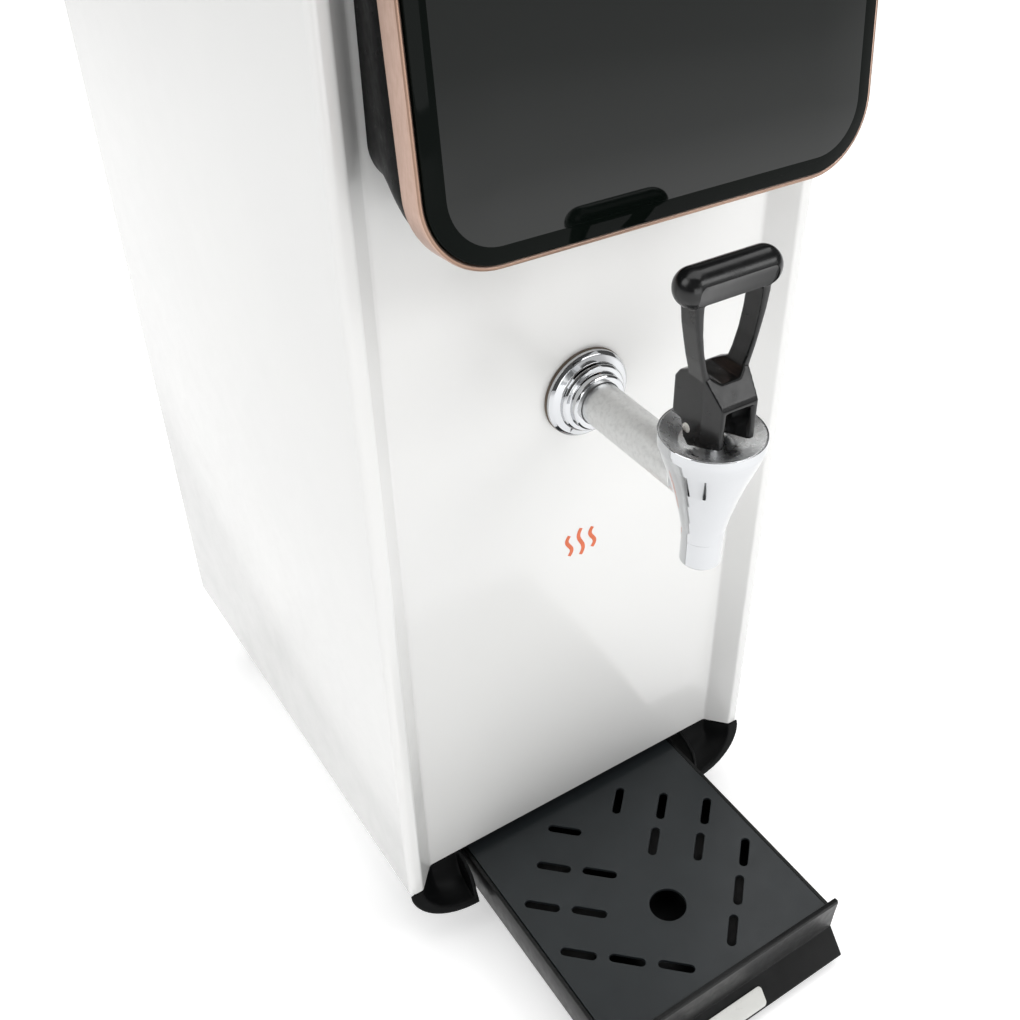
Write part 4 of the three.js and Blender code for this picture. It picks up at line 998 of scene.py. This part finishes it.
def tray():
    """An open box whose front wall is a tall, undercut lip."""
    middle = (TRAY_FRONT + TRAY_BACK) / 2
    half_y = (TRAY_BACK - TRAY_FRONT) / 2

    def ring(inset, z, radius):
        return [(x, y, z) for x, y in
                rounded_rect(TRAY_HALF - inset, half_y - inset, radius, (0, middle), 6)]

    ledge = GRILLE_LOW.z - GAP
    levels = [(1.2, TRAY_FLOOR, 2), (0.35, TRAY_FLOOR + 0.35, 2.4), (0, TRAY_FLOOR + 1.2, 2.6),
              (0, TRAY_RIM - 0.5, 2.6), (0.15, TRAY_RIM - 0.15, 2.5), (0.5, TRAY_RIM, 2.4),
              (1.8, TRAY_RIM, 1.6), (2.15, TRAY_RIM - 0.15, 1.4), (2.3, TRAY_RIM - 0.5, 1.3),
              (2.3, ledge, 1.3), (5.6, ledge, 1.3), (5.8, ledge - 0.3, 1.3),
              (5.8, TRAY_FLOOR + 3.6, 1.3), (6.2, TRAY_FLOOR + 2.7, 1.3),
              (7.2, TRAY_FLOOR + 2.3, 1.2)]
    box = lofted("tray_box", [ring(*level) for level in levels])
    section = [(TRAY_FRONT + 1.8, -3.6), (TRAY_FRONT - 0.6, -3.2), (TRAY_FRONT - 1.3, -5),
               (TRAY_FRONT - 0.5, -16), NOTCH, CHIN, (CHIN[0] + 0.5, -44), (CHIN[0] + 2.8, -44.6),
               (TRAY_FRONT + 1.8, -31)]
    section = filleted(section, [0.5, 0.5, 1.5, 20, 0.8, 0.8, 0.6, 1.5, 2], 5, closed=True)
    lip = bar("lip", section, -TRAY_HALF - 3.1, TRAY_HALF + 3.1, "x", 0.45, 3)
    return joined(box, lip)


def slot_outline(x, y, side):
    """A round-ended slot at 45 degrees, mirrored from side to side."""
    radius, length = 2.4, 19.7
    reach = length / 2 - radius
    lean = 45 if side > 0 else 135
    dx, dy = (reach * cos(radians(lean)), reach * sin(radians(lean)))
    return (arc_points((x + dx, y + dy), radius, lean - 90, lean + 90, 10)
            + arc_points((x - dx, y - dy), radius, lean + 90, lean + 270, 10))


def grille_plate():
    """The tray's loose plate: a drain hole inside chevrons of slots."""
    holes = [circle(10.3, (0, -79.7), 72)]
    for n in range(1, 5):
        for column in range(1, min(n, 3) + 1):
            if n == 3 and column == 1:
                continue
            y = -5.8 - 17.75 * (2 * n - 1 - column)
            holes += [slot_outline(side * 19.5 * column, y, side) for side in (-1, 1)]
    (x0, y0, z0), (x1, y1, z1) = GRILLE_LOW, GRILLE_HIGH
    outline = filleted([(x0, y0), (x1, y0), (x1, y1), (x0, y1)], 1.2, 5, closed=True)
    return plate("grille_plate", outline, z0, z1, holes, 0.35, 3)


def label_plate():
    """A blank label on the lip's slanted face."""
    film = plate("blank_label", rounded_rect(22.4, 5.9, 2.5, (0, 0), 6), 0.3, 0.75, (), 0.12, 2)
    lean = degrees(atan2(NOTCH[1] - CHIN[1], NOTCH[0] - CHIN[0]))
    rotated(film, lean, "X", (0, 0, 0))
    along = 0.61
    return moved(film, 0, NOTCH[0] + along * (CHIN[0] - NOTCH[0]),
                 NOTCH[1] + along * (CHIN[1] - NOTCH[1]))


# ---------- rear fittings
def threaded(r, start, end):
    """The outline of a thread as rings along an axis, from start to end."""
    pitch, depth = 1.8, 0.9
    points = []
    for k in range(int((end - start) / pitch)):
        at = start + k * pitch
        points += [(r - depth, at + 0.15 * pitch), (r, at + 0.45 * pitch), (r, at + 0.6 * pitch),
                   (r - depth, at + 0.95 * pitch)]
    return points


def hexagon(radius, centre):
    points = [(centre[0] + radius * cos(a), centre[1] + radius * sin(a))
              for a in np.arange(6) * pi / 3]
    return filleted(points, 0.8, 3, closed=True)


def water_inlet():
    """The inlet's thread and nut on the rear panel, and the solenoid valve behind them."""
    face = REAR_HIGH.y
    x, z = INLET
    end = mm("inlet_valve")[1].y
    profile = [(6.5, face - 12), (10.2, face - 12), (10.2, face + 6)]
    profile += threaded(10.2, face + 6, end - 2.5)
    profile += [(10.2, end - 2.2), (9.6, end - 0.2), (9.4, end), (6.9, end), (6.5, end - 0.4)]
    stub = turned("inlet_thread", profile, "y", (x, 0, z), 72, closed=True)
    nut = plate("nut", hexagon(15, INLET), face + GAP, face + 5, [circle(9.0, INLET, 48)], 0.5, 3,
                "xzy")
    body = block("valve_body", x - 13, x + 13, face - 60, face - 21, z - 13, z + 13, 1.5)
    neck = turned("neck", [(0.01, face - 25), (10.2, face - 25), (10.2, face - 10),
                           (0.01, face - 10)], "y", (x, 0, z), 64)
    coil = turned("coil", filleted([(0.01, z + 12), (14, z + 12), (14, z + 44), (0.01, z + 44)],
                                   1.2, 4), "z", (x, face - 40, 0), 64)
    outlet = turned("outlet", [(0.01, z + 10.2), (5.2, z + 10.2), (5.2, z + 12.3),
                               (0.01, z + 12.3)], "z", (50, 246, 0), 32)
    return together("water_inlet", [stub, nut, joined(body, neck, coil), outlet])


def knurled(name, r, low, high, centre, ribs, depth, cap_profile):
    """A turned knob whose grip has rounded ribs round it."""
    steps = ribs * 6
    rings = []
    for q, y in cap_profile:
        ring = []
        for k in range(steps):
            a = 2 * pi * k / steps
            rib = depth * (0.5 + 0.5 * cos(a * ribs)) if low <= y <= high and q > r - 1 else 0
            ring.append((centre[0] + (q - rib) * cos(a), y, centre[1] + (q - rib) * sin(a)))
        rings.append(ring)
    return lofted(name, rings)


def drain_cap_piece():
    """The knurled cap of the drain, with a bar to turn it by."""
    low, high = mm("drain_cap")
    x, z = DRAIN
    y0, y1 = low.y, low.y + 9.4
    profile = [(8.4, y0 + 4.5), (8.4, y0), (12.0, y0), (12.5, y0 + 0.5), (12.5, y0 + 1.2)]
    profile += [(12.5, y) for y in np.linspace(y0 + 1.3, y1 - 1.6, 8)]
    profile += [(12.3, y1 - 0.8), (11.6, y1 - 0.2), (10.8, y1), (0.3, y1)]
    cap = knurled("cap", 12.5, y0 + 1.2, y1 - 1.5, (x, z), 36, 0.45, profile)
    grip = block("grip", x - 11, x + 11, y1 - 0.4, high.y, z - 2, z + 2, 1.2, 4)
    return joined(cap, grip)


def gland():
    """The cord's gland: a ribbed collar with a hexagon nut against the panel."""
    face, end = REAR_HIGH.y, mm("cord_gland")[1].y
    x, z = CORD
    profile = [(4.4, face - 14), (8.2, face - 14), (8.2, face + GAP), (10, face + GAP),
               (10, face + 6), (9.2, face + 6.6), (8.8, face + 14.5), (7.6, face + 17.6),
               (6.2, end), (4.8, end), (4.4, end - 0.5)]
    body = spun("gland_body", profile, 0.5, 3, "y", (x, 0, z), 64)
    nut = plate("nut", hexagon(11, CORD), face + GAP, face + 6, [circle(9.6, CORD, 48)], 0.6, 3,
                "xzy")
    ribs = []
    for k in range(20):
        rib = block("rib", x - 0.5, x + 0.5, face + 7, face + 14, z + 8.2, z + 9.6, 0.3, 2)
        ribs.append(rotated(rib, 18 * k, "Y", (x, 0, z)))
    return together("cord_gland_body", [body, nut, *ribs])


def switch_bezel():
    """The switch's frame, with a raised rim on the rear panel."""
    face = REAR_HIGH.y

    def ring(half_x, half_z, y):
        return [(x, y, z) for x, z in rounded_rect(half_x, half_z, 1.0, SWITCH, 4)]

    rings = [ring(12, 8.5, face - 12), ring(12, 8.5, face + 1.6), ring(12.3, 8.8, face + 2.1),
             ring(13, 9.5, face + 2.3), ring(15.2, 11.7, face + 2.1), ring(15.9, 12.4, face + 1.2),
             ring(16, 12.5, face + GAP), ring(13.7, 10.2, face + GAP), ring(13.7, 10.2, face - 22)]
    return lofted("switch_bezel", rings)


def rocker():
    """The switch's key in side view, two faces that meet in a shallow valley."""
    low, high = mm("power_rocker")
    pivot_y = REAR_HIGH.y + 1
    upper = Vector((4.6, 6.6))
    upper.rotate(Matrix.Rotation(radians(25), 2))
    view = [(4.6, -6.6), (2.5, 0.5), upper, (-2, 7), (-4.5, 2.5), (-4.5, -2.5), (0, -7)]
    view = [(pivot_y + y, SWITCH[1] + z) for y, z in view]
    view = filleted(view, [0.5, 6, 0.5, 0.5, 1, 1, 0.5], 5, closed=True)
    return bar("rocker_key", view, low.x, high.x, "x", 0.4, 3)


# ---------- a generic mark on the front
def steam_mark():
    """Three wavy lines, a plain hint at hot water."""
    lines = []
    face, mark_z = RECESS - 0.12, 192
    for k, length in ((-1, 13), (0, 17), (1, 13)):
        middle = [(k * 7 + 1.5 * sin(2 * pi * t), mark_z + length * (t - 0.5))
                  for t in np.linspace(0, 1, 30)]
        outline = beside(middle, 1.1, closed=False) + beside(middle, -1.1, closed=False)[::-1]
        lines.append(bar("line", outline, face, face + 0.1, "y", 0.03, 1))
    return together("steam_mark", lines)


# ---------- lights
def softbox(name, place, size, power, aim=(0, 0, 0.3)):
    data = bpy.data.lights.new(name, "AREA")
    data.shape = "RECTANGLE"
    data.size, data.size_y = size
    data.energy = power
    light = placed(name, data)
    light.location = place
    light.rotation_euler = (Vector(aim) - Vector(place)).to_track_quat("-Z", "Y").to_euler()


def studio():
    """A white floor that glows more with distance, soft lights, and a dim room around them."""
    scene = bpy.context.scene
    scene.view_settings.view_transform = "Standard"
    scene.view_settings.look = "None"
    world = bpy.data.worlds.new("studio")
    scene.world = world
    world.use_nodes = True
    room = world.node_tree.nodes["Background"]
    room.inputs["Color"].default_value = (1, 1, 1, 1)
    room.inputs["Strength"].default_value = 0.1
    bpy.ops.mesh.primitive_plane_add(size=60, location=(0, 0, 0))
    floor = bpy.context.object
    floor.name = "floor"
    f = Finish("white_sweep", (0.9, 0.9, 0.9), 0.7)
    distance = f.node("ShaderNodeVectorMath")
    distance.operation = "LENGTH"
    f.link(f.place, distance.inputs[0])
    f.shader.inputs["Emission Color"].default_value = (1, 1, 1, 1)
    glow = f.ranged(distance.outputs["Value"], low=0.46, high=0.62, start=0.45, end=1.45)
    f.link(glow, f.shader.inputs["Emission Strength"])
    floor.data.materials.append(f.material)
    softbox("top", (0.3, 0.4, 2.6), (3.0, 3.0), 54)
    softbox("left", (-2.0, 0.2, 2.0), (1.4, 1.4), 18)
    softbox("front", (1.3, -2.6, 1.7), (3.2, 2.0), 12)
    softbox("fill", (-0.5, -2.4, 0.6), (1.6, 1.0), 12)
    softbox("table", (0.6, -0.9, 0.95), (0.8, 0.5), 4, (0.6, -0.9, 0))


# ---------- the pieces, on their bodies
make_camera()
studio()

piece(cabinet_sheet(), "cabinet", WHITE, "white_paint", "body_wrap")
piece(lid(), "cabinet", WHITE, "white_paint", "top_cover")
piece(rear_panel(), "cabinet", WHITE, "white_paint", "back_panel")
piece(louvres(), "cabinet", WHITE, "white_paint")
piece(rear_screws(), "cabinet", BRUSHED, "satin_steel")
piece(base_moulding(), "cabinet", BASE_BLACK, "black_plastic", "base_moulding", angle=50)
for row, y in LEG_ROWS.items():
    for hand, x in (("left", -LEG_X), ("right", LEG_X)):
        post, rubber = f"leg_{row}_{hand}", f"foot_pad_{row}_{hand}"
        piece(leg(post, x, y), "cabinet", BLACK, "black_plastic", post)
        piece(pad(rubber, x, y), "cabinet", RUBBER, "rubber", rubber)

piece(display_shell(), "cabinet", HOUSING_BLACK, "black_plastic", "display_housing")
POD_TURN = Matrix.Rotation(radians(POD_TILT), 3, "X")
POD_MIDDLE = POD_CENTRE * MM + ORIGIN
ring = piece(trim_ring(), "cabinet", ROSE, "rose_gold", "display_trim_ring", angle=20)
second_finish(ring, COPPER, lambda face: (POD_TURN @ face.normal).y < -0.8)
glass = piece(front_glass(), "cabinet", GLOSS, "panel_black", "display_glass", angle=12)
CROWN_FOOT = -2.06 * MM
second_finish(glass, GLOSS_BORDER,
              lambda face: (POD_TURN @ (face.center - POD_MIDDLE)).y > CROWN_FOOT)

piece(shank_gasket(), "cabinet", FIBRE, "fibre", "faucet_gasket")
piece(rosette(), "cabinet", CHROME, "chrome", "faucet_rosette")
piece(shank(), "cabinet", CAST, "satin_steel", "faucet_shank")
piece(tap_body(), "cabinet", CHROME, "chrome", "faucet_body")
DISH = turned_steel("turned_dish", ON_TAP, "Z")
piece(bonnet(), "cabinet", DISH, "satin_steel", "faucet_bonnet")

# The spring rides up with the stem, on a mesh of its own.
spring = piece(coil_spring(), "valve", BRUSHED, "satin_steel", "valve_spring")
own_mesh(spring)

piece(handle(), "handle", HANDLE_BLACK, "handle_black", "faucet_handle", angle=60)
PIN_END = turned_steel("turned_pin", (0, PIN.y, PIN.z), "X", (0.75, 0.73, 0.68))
piece(handle_pin(), "handle", PIN_END, "satin_steel", "handle_pin")

piece(tray(), "tray", BLACK, "black_plastic", "drip_tray")
piece(grille_plate(), "grille", SLATE, "grille_grey", "tray_grille", angle=12)
piece(label_plate(), "tray", LABEL, "label_blank", "tray_label")

piece(water_inlet(), "cabinet", BRASS, "brass", "inlet_valve")
piece(drain_cap_piece(), "cap", BLACK, "black_plastic", "drain_cap")
piece(gland(), "cabinet", BLACK, "black_plastic", "cord_gland")
piece(switch_bezel(), "cabinet", BLACK, "black_plastic", "switch_housing")
piece(rocker(), "rocker", HOUSING_BLACK, "panel_black", "power_rocker")
piece(steam_mark(), "cabinet", ink("orange_ink", (0.80, 0.16, 0.05)), "label_blank")

# Inner pieces keep their CAD shape and get softened edges and a finish of their own.
INNER = {
    "satin_steel": BRUSHED, "brass": BRASS, "silicone": SILICONE, "circuit": BOARD, "foam": WOOL,
    "rubber": RUBBER, "black_plastic": BLACK, "panel_black": GLOSS, "white_paint": WHITE,
}
for part in frame["record"]["subparts"]:
    node = frame["nodes"][part["node"]]
    if node.hide_render:
        continue
    node.data.materials.clear()
    node.data.materials.append(INNER[part["material_slot"]])
    smooth(node, 40)
    soften = node.modifiers.new("soft_edges", "BEVEL")
    soften.width = 0.25 * MM
    soften.segments = 2
    soften.limit_method = "ANGLE"
    soften.angle_limit = radians(50)
    soften.harden_normals = True
